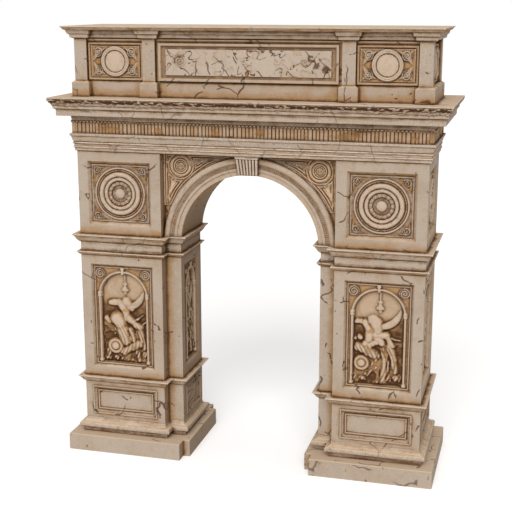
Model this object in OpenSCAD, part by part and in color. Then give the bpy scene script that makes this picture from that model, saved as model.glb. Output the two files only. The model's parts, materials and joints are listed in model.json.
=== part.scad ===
// Single-bay triumphal arch in carved limestone, standing on the ground at Z = 0.
// X runs along the front, Y through the passage (the front faces -Y), Z is up. Millimetres.

/* [Passage and piers] */
// Half the clear width of the passage between the jambs
half_span = 2460; // [2200:10:2800]
// Width of each jamb along the front
jamb_w = 550; // [500:10:700]
// Width of each main pier along the front
pier_w = 3000; // [2800:20:3400]
// Half the depth of a main pier
pier_hy = 1540; // [1450:10:1750]
// Setback of the jamb face behind the pier face
jamb_setback = 440; // [400:10:500]

/* [Stage heights] */
// Height of the plinth
plinth_h = 605; // [500:5:750]
// Height of the moulding over the plinth
base_h = 525; // [480:5:600]
// Height of the pedestal die
die_h = 1360; // [1250:10:1600]
// Height of the pedestal cap
cap_h = 245; // [220:5:300]
// Height of the pier shaft
shaft_h = 4430; // [4300:10:5000]
// Height of the impost
impost_h = 755; // [720:5:850]
// Height of the attic storey between its base and cornice
attic_wall_h = 1385; // [1300:5:1600]

/* [Plinth] */
// Reach of the plinth beyond the pier face
plinth_reach = 505; // [400:5:600]
// Reach of the plinth into the passage
plinth_reveal = 375; // [320:5:420]
// Setback of the main plinth block behind the jamb plinth, along X
plinth_step = 235; // [150:5:300]
// Worn slope along the plinth's upper edge
plinth_chamfer = 25; // [10:1:40]

/* [Mouldings] */
// Reach of the base moulding's torus
base_reach = 215; // [180:5:260]
// Height of the recessed foot under the torus
base_foot_h = 180; // [150:5:200]
// Height of the base moulding's torus
base_torus_h = 177; // [150:1:200]
// Reach of the pedestal cap
cap_reach = 204; // [170:2:240]
// Reach of the impost cornice
impost_reach = 234; // [210:2:260]
// Reach of the impost's lower moulding
neck_reach = 122; // [90:2:150]
// Height of the impost's lower moulding
neck_h = 143; // [120:1:160]
// Height of the plain band between the impost's mouldings
impost_band_h = 333; // [300:1:360]
// Height of a lip at the top of a moulding
lip_h = 40; // [30:1:50]

/* [Panels] */
// Plain border beside a shaft panel
shaft_side = 345; // [310:5:400]
// Plain border over a shaft panel
shaft_top = 315; // [280:5:380]
// Plain border under a shaft panel
shaft_foot = 350; // [300:5:420]
// Depth of the bevel round a shaft panel
bevel_d = 110; // [80:5:130]
// Width of the bevel round a shaft panel
bevel_w = 95; // [70:5:110]
// Thickness of a relief slab on the outer faces
relief_t = 260; // [220:5:300]
// Thickness of a relief slab in the passage
reveal_t = 200; // [170:5:240]
// Depth of the bevel round a passage panel
reveal_bevel = 70; // [50:5:90]
// Plain border beside a passage panel
reveal_side = 340; // [300:5:400]
// Distance from a niche colonnette to the edge of its slab
niche_side = 175; // [150:5:220]
// Depth of the niche in a relief slab
niche_d = 130; // [100:5:150]
// Height of the sill under the niche
sill_h = 82; // [70:2:110]
// Radius of the niche's colonnettes and arch moulding
colonnette_r = 30; // [24:1:36]
// How far a carved figure is let into the floor of its niche
figure_sink = 40; // [20:5:60]
// Gap between a carved figure and the edge of its niche
figure_gap = 12; // [5:1:25]
// Plain border beside a pedestal panel
die_side = 278; // [240:2:320]
// Plain border over and under a pedestal panel
die_edge = 144; // [120:2:170]
// Width of the slope round a pedestal panel
die_slope = 170; // [130:5:190]
// Depth of a pedestal panel
die_sink = 80; // [60:2:100]
// Width of the raised fillet round a pedestal panel
die_fillet_w = 45; // [30:1:60]
// Projection of the raised fillet round a pedestal panel
die_fillet_out = 12; // [6:1:18]
// Plain border beside a roundel panel
medal_side = 355; // [320:5:400]
// Plain border over and under a roundel panel
medal_edge = 340; // [315:5:380]
// Width of the bevel round a roundel panel
medal_bevel = 120; // [90:5:140]
// Depth of a roundel panel
medal_sink = 130; // [110:5:160]
// Outer radius of a pier roundel
roundel_r = 915; // [820:5:960]
// Thickness of a pier roundel's plate
roundel_t = 30; // [22:1:40]
// Radius of the round bead at a pier roundel's rim
roundel_bead = 60; // [50:1:66]
// Outer radius of the broad ring in a pier roundel
ring_outer = 745; // [700:5:770]
// Inner radius of the broad ring in a pier roundel
ring_inner = 440; // [425:5:480]
// Height of the broad ring over the panel's floor
ring_t = 95; // [70:1:110]
// Outer radius of the leaf ring in a pier roundel
leaf_outer = 420; // [390:5:435]
// Inner radius of the leaf ring in a pier roundel
leaf_inner = 285; // [250:5:300]
// Height of the leaf ring over the panel's floor
leaf_t = 100; // [80:1:115]
// Number of lobes on the leaf ring
leaf_lobes = 14; // [10:1:20]
// Radius of the boss in a pier roundel
boss_r = 180; // [150:5:210]
// Gap between a panel's corner carving and its sides
corner_gap = 20; // [10:2:40]
// Space between a roundel and the hollow side of its corner carvings
corner_clear = 235; // [200:5:260]
// Width of the raised border of a corner carving
corner_border = 30; // [20:1:40]
// Projection of a carving from the floor of its panel
carving_t = 45; // [30:1:60]
// Radius of a carved stem or scroll
stem_r = 26; // [18:1:32]
// Radius of a small carved button
button_r = 48; // [36:1:56]

/* [Arch] */
// Overhang of the vault beyond the jamb face
soffit_overhang = 50; // [20:2:70]
// Height of the impost's top over the arch centre
spring_drop = 180; // [150:5:220]
// Gap between the archivolt and the pier beside it
archivolt_gap = 10; // [5:1:30]
// Thickness of the vault's ring of stones
vault_t = 380; // [300:5:450]
// Space between the archivolt's crown and the architrave
crown_gap = 75; // [60:5:120]
// Width of the archivolt's inner band
band_w = 155; // [130:5:175]
// Width of the archivolt's second band
band2_w = 93; // [80:1:110]
// Width of the archivolt's hood moulding
hood_w = 94; // [80:1:110]
// Projection of the hood moulding
hood_out = 225; // [190:5:234]
// Projection of the archivolt's inner band
band_out = 105; // [80:5:120]
// Half the keystone's width at its top
key_top = 393; // [340:2:430]
// Half the keystone's width at its foot
key_foot = 342; // [300:2:360]
// Projection of the keystone from the jamb face
key_out = 430; // [380:5:440]
// Projection of the keystone's foot from the jamb face
key_nose = 267; // [240:1:300]
// Number of upright ribs and flutes on the keystone
key_ribs = 9; // [5:2:11]
// Depth of the keystone's flutes
key_flute = 32; // [20:1:40]
// Height of one step between the archivolt's bands
band_step = 25; // [15:1:30]
// Radius of a spandrel rosette
rosette_r = 340; // [280:5:380]
// Width of a spandrel rosette's rim
rosette_rim = 56; // [40:2:70]
// Radius of a spandrel rosette's boss
rosette_boss = 119; // [90:1:140]
// Space between a rosette and the stem that curls round it
stem_gap = 75; // [60:5:90]
// Radius of the scroll that ends the stem
scroll_r = 108; // [90:2:120]
// Distance of that scroll from the rosette's centre towards the pier
scroll_side = 264; // [230:2:280]
// Distance of that scroll below the rosette's centre
scroll_drop = 473; // [450:1:500]
// Angle from the crown at which the leaf spray starts
spray_turn = 39; // [36:1:42]
// Space between the archivolt and the lowest leaf
spray_gap = 90; // [75:5:120]
// Distance from one leaf's foot to the next
spray_step = 110; // [100:5:125]
// Angle between one leaf and the next
spray_fan = 13; // [9:1:15]
// Number of leaves in a spray
spray_leaves = 3; // [2:1:3]
// Length of the longest leaf in a spray
leaf_l = 430; // [340:5:460]
// Half the width of a leaf in a spray
leaf_w = 46; // [34:1:50]
// Distance of a rosette's centre from the pier beside it
rosette_side = 610; // [560:5:660]
// Distance of a rosette's centre below the architrave
rosette_drop = 445; // [400:5:500]

/* [Entablature] */
// Height of the architrave
architrave_h = 613; // [560:1:700]
// Height of the architrave's lower band
fascia_h = 147; // [120:1:165]
// Height of the architrave's middle band
fascia2_h = 141; // [120:1:160]
// Reach of the architrave's top fillet beyond the pier face
architrave_reach = 180; // [165:1:200]
// Height of the frieze
frieze_h = 367; // [320:1:420]
// Reach of the frieze beyond the pier face
frieze_reach = 115; // [100:1:130]
// Pitch of the upright reeds on the frieze
reed_pitch = 125; // [100:5:160]
// Depth of the hollows between the reeds
reed_d = 30; // [20:1:40]
// Height of the bead course over the frieze
bead_h = 80; // [65:1:95]
// Pitch of the beads
bead_pitch = 130; // [100:5:160]
// Projection of the beads beyond the frieze
bead_out = 42; // [30:1:50]
// Height of the bed mouldings under the cornice
bed_h = 235; // [210:1:270]
// Height of the cornice
cornice_h = 635; // [580:1:700]
// Reach of the cornice beyond the pier face
cornice_reach = 728; // [680:2:780]
// Reach of the corona beyond the pier face
corona_reach = 500; // [450:2:540]
// Height of the corona's face
corona_h = 229; // [200:1:250]
// Height of the slope and fillet between the corona and the crown curve
crown_foot_h = 133; // [110:1:150]

/* [Attic] */
// Half the attic's length at its corner posts
attic_hx = 6000; // [5950:10:6100]
// Half the attic's depth at its corner posts
attic_hy = 1476; // [1440:2:1600]
// Width of a pilaster and of a corner post
pilaster_w = 435; // [400:5:480]
// Setback of the attic wall behind its pilasters
attic_setback = 165; // [140:5:190]
// Clear width of an attic side bay, between an inner pilaster and the corner post
attic_bay = 1995; // [1900:5:2050]
// Height of the attic base
attic_base_h = 535; // [480:5:600]
// Reach of the base beyond a pilaster
attic_base_reach = 95; // [80:1:120]
// Height of the slope on top of the attic base
attic_base_slope = 65; // [50:1:80]
// Height of the attic cornice
attic_cornice_h = 415; // [380:1:460]
// Reach of the attic cornice beyond a pilaster
attic_cornice_reach = 351; // [320:1:380]
// Reach of the attic cornice's lower band
attic_band_reach = 125; // [105:1:140]
// Height of the attic cornice's lower band
attic_band_h = 145; // [120:1:160]
// Height of the attic cornice's upper band
attic_fascia_h = 137; // [120:1:155]
// Reach of the attic cornice's upper band
attic_fascia_reach = 215; // [190:1:235]
// Height of the fillet course under the attic cornice
attic_fillet_h = 100; // [80:2:120]
// Projection of the fillet course from the attic wall
attic_fillet_out = 60; // [40:2:90]
// Width of the frame round an attic panel
frame_w = 105; // [90:1:120]
// Projection of the frame round an attic panel
frame_out = 70; // [50:2:100]
// Gap between an attic panel's frame and what is round it
frame_gap = 30; // [20:2:50]
// Gap between the tablet's frame and the pilaster beside it
tablet_gap = 110; // [80:5:130]
// Width of the frame round the tablet
tablet_frame_w = 130; // [110:1:145]
// Sunk border beside the tablet's field
tablet_border = 110; // [80:5:130]
// Sunk border over and under the tablet's field
tablet_edge = 50; // [35:1:60]
// Projection of the tablet's field
field_out = 40; // [25:1:50]
// Gap between an attic roundel and the frame round it
attic_roundel_gap = 5; // [3:1:15]
// Width of the rings round an attic roundel's plain disc
attic_ring_w = 150; // [130:2:170]
// Width of the groove between an attic roundel's disc and rings
attic_groove_w = 45; // [30:1:55]
// Thickness of an attic roundel
attic_roundel_t = 70; // [50:2:90]
// Radius of a corner scroll beside an attic roundel
attic_scroll_r = 84; // [60:2:95]

/* [Hidden] */
$fn = 64;
// Number of flat facets along one curved stretch of a straight moulding
curve_n = 6;
// Number of flat facets on one reed or bead
swell_n = 3;
// How far a cut runs past the face that it opens
past = 20;

limestone = [0.74, 0.68, 0.59];
pale_stone = [0.86, 0.79, 0.71];
brown_stone = [0.62, 0.50, 0.38];
dark_stone = [0.45, 0.35, 0.26];

pier_x = half_span + jamb_w;
pier_end = pier_x + pier_w;
pier_mid = pier_x + pier_w / 2;
jamb_hy = pier_hy - jamb_setback;

z_base = plinth_h;
z_die = z_base + base_h;
z_cap = z_die + die_h;
z_shaft = z_cap + cap_h;
z_impost = z_shaft + shaft_h;
z_upper = z_impost + impost_h;
arch_r = half_span - soffit_overhang;
arch_z = z_upper - spring_drop;
archivolt_r = pier_x - archivolt_gap;
z_architrave = arch_z + archivolt_r + crown_gap;
upper_h = z_architrave - z_upper;
z_frieze = z_architrave + architrave_h;
z_bed = z_frieze + frieze_h;
z_cornice = z_bed + bed_h;
z_attic = z_cornice + cornice_h;
z_wall = z_attic + attic_base_h;
z_attic_cornice = z_wall + attic_wall_h;
z_top = z_attic_cornice + attic_cornice_h;
pilaster_x = attic_hx - 1.5 * pilaster_w - attic_bay;
attic_wall_x = attic_hx - attic_setback;
attic_wall_y = attic_hy - attic_setback;

// Hollow quarter curve: leaves the first point upright and reaches the second level
function cavetto(a, b) = [for (i = [0:curve_n]) let (t = 90 * i / curve_n)
    [a[0] + (b[0] - a[0]) * (1 - cos(t)), a[1] + (b[1] - a[1]) * sin(t)]];
// Round quarter curve: leaves the first point level and reaches the second upright
function ovolo(a, b) = [for (i = [0:curve_n]) let (t = 90 * i / curve_n)
    [a[0] + (b[0] - a[0]) * sin(t), a[1] + (b[1] - a[1]) * (1 - cos(t))]];
// S-curve that is round below and hollow above
function cyma(a, b) = [for (i = [0:curve_n]) let (t = i / curve_n)
    [a[0] + (b[0] - a[0]) * t, a[1] + (b[1] - a[1]) * t * t * (3 - 2 * t)]];
// Half-round swelling of the given reach between two heights
function torus_curve(z0, z1, reach, out) = [for (i = [0:2 * curve_n]) let (t = 90 * i / curve_n)
    [reach - out + out * sin(t), (z0 + z1) / 2 - (z1 - z0) / 2 * cos(t)]];
// Half-round section standing on y = 0, its middle at x
function half_round(x, r) = [for (i = [0:curve_n]) let (t = 180 * i / curve_n)
    [x + r * cos(t), r * sin(t)]];
// Row of round swellings along one side, as [distance, rise] points
function swellings(side, pitch, rise) = let (n = round(side / pitch))
    [for (i = [0:n - 1], k = [0:swell_n - 1]) [side * (i + k / swell_n) / n, rise * sin(180 * k / swell_n)]];
function turned(list) = [for (i = [len(list) - 1:-1:0]) list[i]];
function largest(profile) = max([for (p = profile) p[0]]);

// Block from x0 to x1 and from -hy to hy whose sides follow a profile of [reach, height] points
module moulded(x0, x1, hy, profile) {
    reach = largest(profile);
    across = concat([for (p = profile) [x1 + p[0], p[1]]], turned([for (p = profile) [x0 - p[0], p[1]]]));
    through = concat([for (p = profile) [hy + p[0], p[1]]], turned([for (p = profile) [-hy - p[0], p[1]]]));
    intersection() {
        translate([0, hy + reach + past, 0])
            rotate([90, 0, 0])
                linear_extrude(2 * (hy + reach + past))
                    polygon(across);
        translate([x0 - reach - past, 0, 0])
            rotate([90, 0, 90])
                linear_extrude(x1 - x0 + 2 * (reach + past))
                    polygon(through);
    }
}

// Moulding carried round a main pier and the jamb beside it
module stepped(profile) {
    moulded(pier_x, pier_end, pier_hy, profile);
    moulded(half_span, pier_x + pier_w / 2, jamb_hy, profile);
}

// Box given by its lowest and highest corners
module block(low, high) {
    translate(low) cube(high - low);
}

// The right side as drawn, or its mirror image on the left
module on_side(s) {
    mirror([s < 0 ? 1 : 0, 0, 0]) children();
}

// Places for what is drawn facing -Y with its centre at the origin
module on_front(z) {
    translate([pier_mid, -pier_hy, z]) children();
}
module on_back(z) {
    translate([pier_mid, pier_hy, z]) rotate([0, 0, 180]) children();
}
module on_end(z) {
    translate([pier_end, 0, z]) rotate([0, 0, 90]) children();
}
module on_reveal(z) {
    translate([half_span, 0, z]) rotate([0, 0, -90]) children();
}
module on_outer_faces(z) {
    on_front(z) children();
    on_back(z) children();
    on_end(z) children();
}

// Sunk panel with sloping sides, from the face at y = 0 to the depth d
module sunk_panel(w, h, slope, d) {
    intersection() {
        translate([0, 0, -h / 2])
            linear_extrude(h)
                polygon([[-w / 2, -past], [w / 2, -past], [w / 2, 0], [w / 2 - slope, d],
                    [slope - w / 2, d], [-w / 2, 0]]);
        translate([-w / 2, 0, 0])
            rotate([90, 0, 90])
                linear_extrude(w)
                    polygon([[-past, -h / 2], [0, -h / 2], [d, slope - h / 2], [d, h / 2 - slope],
                        [0, h / 2], [-past, h / 2]]);
    }
}

// Flat band standing proud of the face at y = 0
module raised_fillet(w, h, band, out) {
    difference() {
        block([-w / 2, -out, -h / 2], [w / 2, past, h / 2]);
        block([band - w / 2, -out - past, band - h / 2], [w / 2 - band, 2 * past, h / 2 - band]);
    }
}

// Plan of a course whose four sides carry a row of round swellings
module swelled_plan(hx, hy, pitch, rise) {
    along = swellings(2 * hx, pitch, rise);
    through = swellings(2 * hy, pitch, rise);
    polygon(concat(
        [for (p = along) [p[0] - hx, -hy - p[1]]],
        [for (p = through) [hx + p[1], p[0] - hy]],
        [for (p = along) [hx - p[0], hy + p[1]]],
        [for (p = through) [-hx - p[1], hy - p[0]]]
    ));
}

/* Carving on a face at y = 0, standing out towards -Y */

// Half-round stem bent to a part of a circle, from the angle start, anticlockwise seen from the front
module scroll_arc(r, thick, start, sweep) {
    rotate([90, 0, 0])
        rotate([0, 0, start])
            rotate_extrude(angle = sweep)
                polygon(half_round(r, thick));
}

module button(r) {
    rotate([90, 0, 0])
        rotate_extrude()
            polygon([[0, 0], for (t = [0:30:90]) [r * cos(t), r * sin(t)]]);
}

// Pointed leaf, round in section, turned clockwise from upright
module leaf(long, wide, turn) {
    rotate([0, turn, 0])
        rotate([0, 0, 180])
            rotate_extrude(angle = 180)
                polygon([for (i = [0:curve_n]) let (t = i / curve_n) [wide * sin(180 * t), long * t]]);
}

// Scroll with a button in its eye
module volute(r, start, sweep) {
    scroll_arc(r, stem_r, start, sweep);
    button(button_r);
}

// Shapes that repeat in the four corners of a panel
module in_corners() {
    for (sx = [0, 1], sz = [0, 1])
        mirror([sx, 0, 0]) mirror([0, 0, sz]) children();
}

/* Plinths and pedestals */

module plinth_form() {
    edge = [[0, 0], [0, plinth_h - plinth_chamfer], [-plinth_chamfer, plinth_h]];
    moulded(half_span - plinth_reveal + plinth_step, pier_end + plinth_reach, pier_hy + plinth_reach, edge);
    moulded(half_span - plinth_reveal, pier_mid, jamb_hy + plinth_reach, edge);
}

module base_form() {
    foot = z_base + base_foot_h;
    shoulder = foot + base_torus_h;
    stepped(concat(
        [[base_reach / 2, z_base], [base_reach / 2, foot]],
        torus_curve(foot, shoulder, base_reach, base_reach / 4),
        turned(cavetto([0, z_die], [base_reach - lip_h, shoulder]))
    ));
}

die_panel_h = die_h - 2 * die_edge;
die_mid = z_cap - die_h / 2;

module die_fillet(w) {
    raised_fillet(w, die_panel_h, die_fillet_w, die_fillet_out);
}

module die_panel(w) {
    inset = 2 * die_fillet_w;
    sunk_panel(w - inset, die_panel_h - inset, die_slope - die_fillet_w, die_sink);
}

module pedestal_form() {
    panel_w = pier_w - 2 * die_side;
    end_w = 2 * (pier_hy - die_side);
    reveal_w = 2 * (jamb_hy - die_side);
    difference() {
        union() {
            block([pier_x, -pier_hy, z_die], [pier_end, pier_hy, z_cap]);
            block([half_span, -jamb_hy, z_die], [pier_mid, jamb_hy, z_cap]);
            on_front(die_mid) die_fillet(panel_w);
            on_back(die_mid) die_fillet(panel_w);
            on_end(die_mid) die_fillet(end_w);
            on_reveal(die_mid) die_fillet(reveal_w);
        }
        on_front(die_mid) die_panel(panel_w);
        on_back(die_mid) die_panel(panel_w);
        on_end(die_mid) die_panel(end_w);
        on_reveal(die_mid) die_panel(reveal_w);
    }
}

module cap_form() {
    z_lip = z_shaft - lip_h;
    stepped(concat(
        [[0, z_cap]],
        cyma([lip_h / 2, z_cap + lip_h / 2], [cap_reach - lip_h / 2, z_lip]),
        [[cap_reach, z_lip], [cap_reach, z_shaft]]
    ));
}

/* Pier shafts, jambs and their relief slabs */

shaft_panel_w = pier_w - 2 * shaft_side;
shaft_panel_h = shaft_h - shaft_top - shaft_foot;
shaft_panel_mid = z_shaft + shaft_foot + shaft_panel_h / 2;
reveal_panel_w = 2 * (jamb_hy - reveal_side);

// Bevelled panel with a straight-sided seat for a relief slab behind it
module relief_seat(w, d, t) {
    sunk_panel(w, shaft_panel_h, bevel_w, d);
    seat_w = w - 2 * bevel_w;
    seat_h = shaft_panel_h - 2 * bevel_w;
    block([-seat_w / 2, d - past, -seat_h / 2], [seat_w / 2, d + t, seat_h / 2]);
}

module shaft_form() {
    difference() {
        block([pier_x, -pier_hy, z_shaft], [pier_end, pier_hy, z_impost]);
        on_outer_faces(shaft_panel_mid) relief_seat(shaft_panel_w, bevel_d, relief_t);
    }
}

module jamb_form() {
    difference() {
        block([half_span, -jamb_hy, z_shaft], [pier_x, jamb_hy, z_impost]);
        on_reveal(shaft_panel_mid) relief_seat(reveal_panel_w, reveal_bevel, reveal_t);
    }
}

// Tapered limb with round ends from a to b
module limb(a, b, ra, rb) {
    run = b - a;
    long = norm(run);
    translate(a)
        rotate([0, acos(run[2] / long), atan2(run[1], run[0])])
            rotate_extrude($fn = 32)
                polygon(concat(
                    [for (t = [0:45:90]) [ra * sin(t), -ra * cos(t)]],
                    [for (t = [0:45:90]) [rb * cos(t), long + rb * sin(t)]]
                ));
}

// The same limb with its ends given as [across, up, out]: across and out in units of u, up in units of h
module carved_limb(u, h, a, b, ra, rb) {
    limb([a[0] * u, -a[2] * u, a[1] * h], [b[0] * u, -b[2] * u, b[1] * h], ra * u, rb * u);
}

// Lamp on a stem that hangs from the crown of the niche
module hanging_lamp(u, h) {
    translate([0, -0.02 * u, h])
        rotate_extrude($fn = 32)
            polygon(u * [[0, 0.30], [0.05, 0.33], [0.06, 0.37], [0.11, 0.42], [0.10, 0.48],
                [0.05, 0.54], [0.035, 0.94], [0, 0.94]]);
}

// Seated, hooded figure with bent arms and knees, draped on one side; its parts stand clear of each other
module seated_figure(u, h) {
    // hood, shoulder and chest
    carved_limb(u, h, [0.14, 0.93, 0.06], [0.16, 0.84, 0.06], 0.13, 0.10);
    carved_limb(u, h, [-0.38, 0.93, 0.04], [-0.10, 0.84, 0.06], 0.09, 0.11);
    carved_limb(u, h, [-0.24, 0.72, 0.04], [-0.06, 0.63, 0.04], 0.19, 0.18);
    // lap
    carved_limb(u, h, [-0.04, 0.50, 0.02], [0.10, 0.37, 0.02], 0.16, 0.15);
    // forearm, and the far arm
    carved_limb(u, h, [0.24, 0.72, 0.05], [0.52, 0.61, 0.06], 0.11, 0.09);
    carved_limb(u, h, [-0.70, 0.71, 0.03], [-0.58, 0.66, 0.03], 0.11, 0.10);
    // thigh and shin
    carved_limb(u, h, [0.16, 0.23, 0.04], [0.48, 0.33, 0.05], 0.10, 0.13);
    carved_limb(u, h, [0.44, 0.20, 0.03], [0.40, 0.07, 0.02], 0.08, 0.07);
    // hanging drapery
    carved_limb(u, h, [0.62, 0.50, 0.02], [0.78, 0.20, 0.02], 0.07, 0.06);
    // rocks on the sill
    carved_limb(u, h, [-0.22, 0.045, 0.03], [0.10, 0.045, 0.03], 0.08, 0.06);
    carved_limb(u, h, [-0.76, 0.06, 0.02], [-0.66, 0.11, 0.02], 0.08, 0.10);
    carved_limb(u, h, [0.78, 0.06, 0.03], [0.70, 0.09, 0.03], 0.09, 0.11);
}

// Round shield that leans in front of the figure
module round_shield(u, h) {
    shield_r = 0.31 * u;
    translate([-0.40 * u, -0.04 * u, 0.30 * h])
        rotate([90, 0, 0])
            rotate_extrude()
                polygon([[0, -0.05 * u], [shield_r, -0.05 * u], [shield_r, 0.05 * u],
                    [0.8 * shield_r, 0.06 * u], [0.5 * shield_r, 0.10 * u], [0, 0.12 * u]]);
}

// Crescent behind the figure: two arcs of a thick ring about the springing
module crescent(u, h) {
    for (arc = [[198, 28], [308, 34]])
        translate([0, -0.02 * u, h])
            rotate([90, 0, 0])
                rotate([0, 0, arc[0]])
                    rotate_extrude(angle = arc[1])
                        translate([0.72 * u, 0]) circle(0.11 * u, $fn = 32);
}

// Standing, draped figure for the narrow slabs of the passage
module standing_figure(u, h) {
    carved_limb(u, h, [0, 0.94, 0.08], [0, 0.89, 0.08], 0.20, 0.17);
    carved_limb(u, h, [-0.30, 0.78, 0.06], [0.30, 0.78, 0.06], 0.18, 0.18);
    carved_limb(u, h, [0, 0.74, 0.02], [0, 0.10, 0.02], 0.27, 0.36);
    carved_limb(u, h, [-0.47, 0.76, 0.06], [-0.30, 0.50, 0.16], 0.13, 0.10);
    carved_limb(u, h, [0.47, 0.76, 0.06], [0.58, 0.46, 0.04], 0.13, 0.10);
    for (side = [-1, 1])
        carved_limb(u, h, [0.14 * side, 0.44, 0.24], [0.20 * side, 0.08, 0.28], 0.06, 0.08);
}

// Slab with an arched niche between colonnettes, its face d behind the wall's face.
// The children are its figures, and they read the niche's radius and height as $niche_r and $niche_h.
module relief_slab(w, d, t) {
    slab_w = w - 2 * bevel_w;
    slab_h = shaft_panel_h - 2 * bevel_w;
    niche_r = slab_w / 2 - niche_side;
    sill_z = sill_h - slab_h / 2;
    spring_z = slab_h / 2 - niche_side - niche_r;
    ring_r = 2 * colonnette_r;
    ring_h = colonnette_r;
    rosette_at = niche_side / 2;
    translate([0, d, 0]) {
        difference() {
            block([-slab_w / 2, 0, -slab_h / 2], [slab_w / 2, t, slab_h / 2]);
            block([-niche_r, -past, sill_z], [niche_r, niche_d, spring_z]);
            translate([0, niche_d, spring_z])
                rotate([90, 0, 0])
                    cylinder(r = niche_r, h = niche_d + past);
        }
        for (side = [-1, 1]) {
            translate([side * niche_r, 0, sill_z]) {
                cylinder(r = colonnette_r, h = spring_z - sill_z);
                cylinder(r = ring_r, h = ring_h);
            }
            for (k = [0, 1])
                translate([side * niche_r, 0, spring_z - ring_h - 2 * k * ring_h])
                    cylinder(r = ring_r, h = ring_h);
            translate([side * (slab_w / 2 - rosette_at), 0, slab_h / 2 - rosette_at]) button(button_r);
        }
        translate([0, 0, spring_z])
            rotate([90, 0, 0])
                rotate_extrude(angle = 180)
                    translate([niche_r, 0]) circle(colonnette_r);
        block([-ring_r, -ring_r, slab_h / 2 - niche_side - ring_r], [ring_r, ring_r, slab_h / 2]);
        intersection() {
            inner_r = niche_r - figure_gap;
            block([-inner_r, figure_gap - d, sill_z - past],
                [inner_r, niche_d + figure_sink, spring_z + inner_r]);
            translate([0, niche_d, sill_z]) {
                $niche_r = niche_r;
                $niche_h = spring_z - sill_z;
                children();
            }
        }
    }
}

module outer_relief() {
    relief_slab(shaft_panel_w, bevel_d, relief_t) {
        hanging_lamp($niche_r, $niche_h);
        crescent($niche_r, $niche_h);
        seated_figure($niche_r, $niche_h);
        round_shield($niche_r, $niche_h);
    }
}

module passage_relief() {
    relief_slab(reveal_panel_w, reveal_bevel, reveal_t) {
        standing_figure($niche_r, $niche_h);
    }
}

/* Imposts, upper piers and roundels */

module impost_form() {
    neck_top = z_impost + neck_h;
    crown_foot = neck_top + impost_band_h;
    z_lip = z_upper - lip_h;
    stepped(concat(
        [[0, z_impost]],
        cyma([lip_h / 2, z_impost + lip_h / 2], [neck_reach, neck_top - lip_h]),
        [[neck_reach, neck_top], [0, neck_top], [0, crown_foot], [lip_h, crown_foot]],
        cyma([lip_h, crown_foot + lip_h / 2], [impost_reach - lip_h / 2, z_lip]),
        [[impost_reach, z_lip], [impost_reach, z_upper]]
    ));
}

medal_w = pier_w - 2 * medal_side;
medal_h = upper_h - 2 * medal_edge;
medal_mid = z_upper + upper_h / 2;

module upper_pier_form() {
    difference() {
        block([pier_x, -pier_hy, z_upper], [pier_end, pier_hy, z_architrave]);
        on_outer_faces(medal_mid) sunk_panel(medal_w, medal_h, medal_bevel, medal_sink);
    }
}

// Turned roundel on the floor of its panel: a round rim, a broad ring, a lobed leaf ring and a boss
module pier_roundel() {
    rim = roundel_r - roundel_bead;
    ring_mid = (ring_outer + ring_inner) / 2;
    ring_half = (ring_outer - ring_inner) / 2;
    wave = (leaf_outer - leaf_inner) / 4;
    rotate([90, 0, 0]) {
        rotate_extrude()
            polygon(concat(
                [[0, 0]],
                [for (p = half_round(rim, roundel_bead)) [p[0], p[1] + (p[1] > 0 ? roundel_t / 2 : 0)]],
                [[ring_outer, roundel_t]],
                [for (i = [1:2 * curve_n - 1]) let (t = 90 * i / curve_n)
                    [ring_mid + ring_half * cos(t), roundel_t + (ring_t - roundel_t) * sin(t)]],
                [[ring_inner, roundel_t], [boss_r, roundel_t]],
                [for (i = [1:curve_n]) let (t = 90 * i / curve_n)
                    [boss_r * cos(t), roundel_t + leaf_t * sin(t)]]
            ));
        translate([0, 0, roundel_t / 2])
            linear_extrude(leaf_t - roundel_t / 2)
                difference() {
                    polygon([for (i = [0:curve_n * leaf_lobes - 1]) let (t = 360 * i / curve_n / leaf_lobes)
                        (leaf_outer - wave + wave * cos(leaf_lobes * t)) * [cos(t), sin(t)]]);
                    circle(leaf_inner);
                }
    }
}

// Curved triangle between a panel's corner and its roundel
module corner_zone(inset) {
    floor_w = medal_w / 2 - medal_bevel - corner_gap - inset;
    floor_h = medal_h / 2 - medal_bevel - corner_gap - inset;
    difference() {
        square([floor_w, floor_h]);
        circle(roundel_r + corner_clear + inset);
    }
}

// Corner carving: a raised border round a small scroll
module corner_carving() {
    eye_x = medal_w / 2 - medal_bevel - corner_gap - 3 * corner_border;
    eye_z = medal_h / 2 - medal_bevel - corner_gap - 3 * corner_border;
    rotate([90, 0, 0])
        linear_extrude(carving_t)
            difference() {
                corner_zone(0);
                corner_zone(corner_border);
            }
    translate([eye_x, 0, eye_z]) button(button_r);
}

module roundel_panel() {
    translate([0, medal_sink, 0]) {
        pier_roundel();
        in_corners() corner_carving();
    }
}

/* Arch */

module vault() {
    color(limestone)
        intersection() {
            translate([0, jamb_hy, arch_z])
                rotate([90, 0, 0])
                    linear_extrude(2 * jamb_hy)
                        difference() {
                            circle(arch_r + vault_t, $fn = 180);
                            circle(arch_r, $fn = 180);
                        }
            block([-pier_x, -jamb_hy, z_upper], [pier_x, jamb_hy, z_architrave]);
        }
}

module spandrel_wall() {
    color(limestone)
        difference() {
            block([-pier_x, -jamb_hy, z_upper], [pier_x, jamb_hy, z_architrave]);
            translate([0, jamb_hy + past, arch_z])
                rotate([90, 0, 0])
                    cylinder(r = arch_r + vault_t, h = 2 * (jamb_hy + past), $fn = 180);
        }
}

// Outline of the keystone on the wall face, reaching from the soffit to the architrave
module keystone_outline() {
    foot_z = arch_z + arch_r;
    polygon([[-key_foot, foot_z], [key_foot, foot_z], [key_top, z_architrave], [-key_top, z_architrave]]);
}

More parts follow.
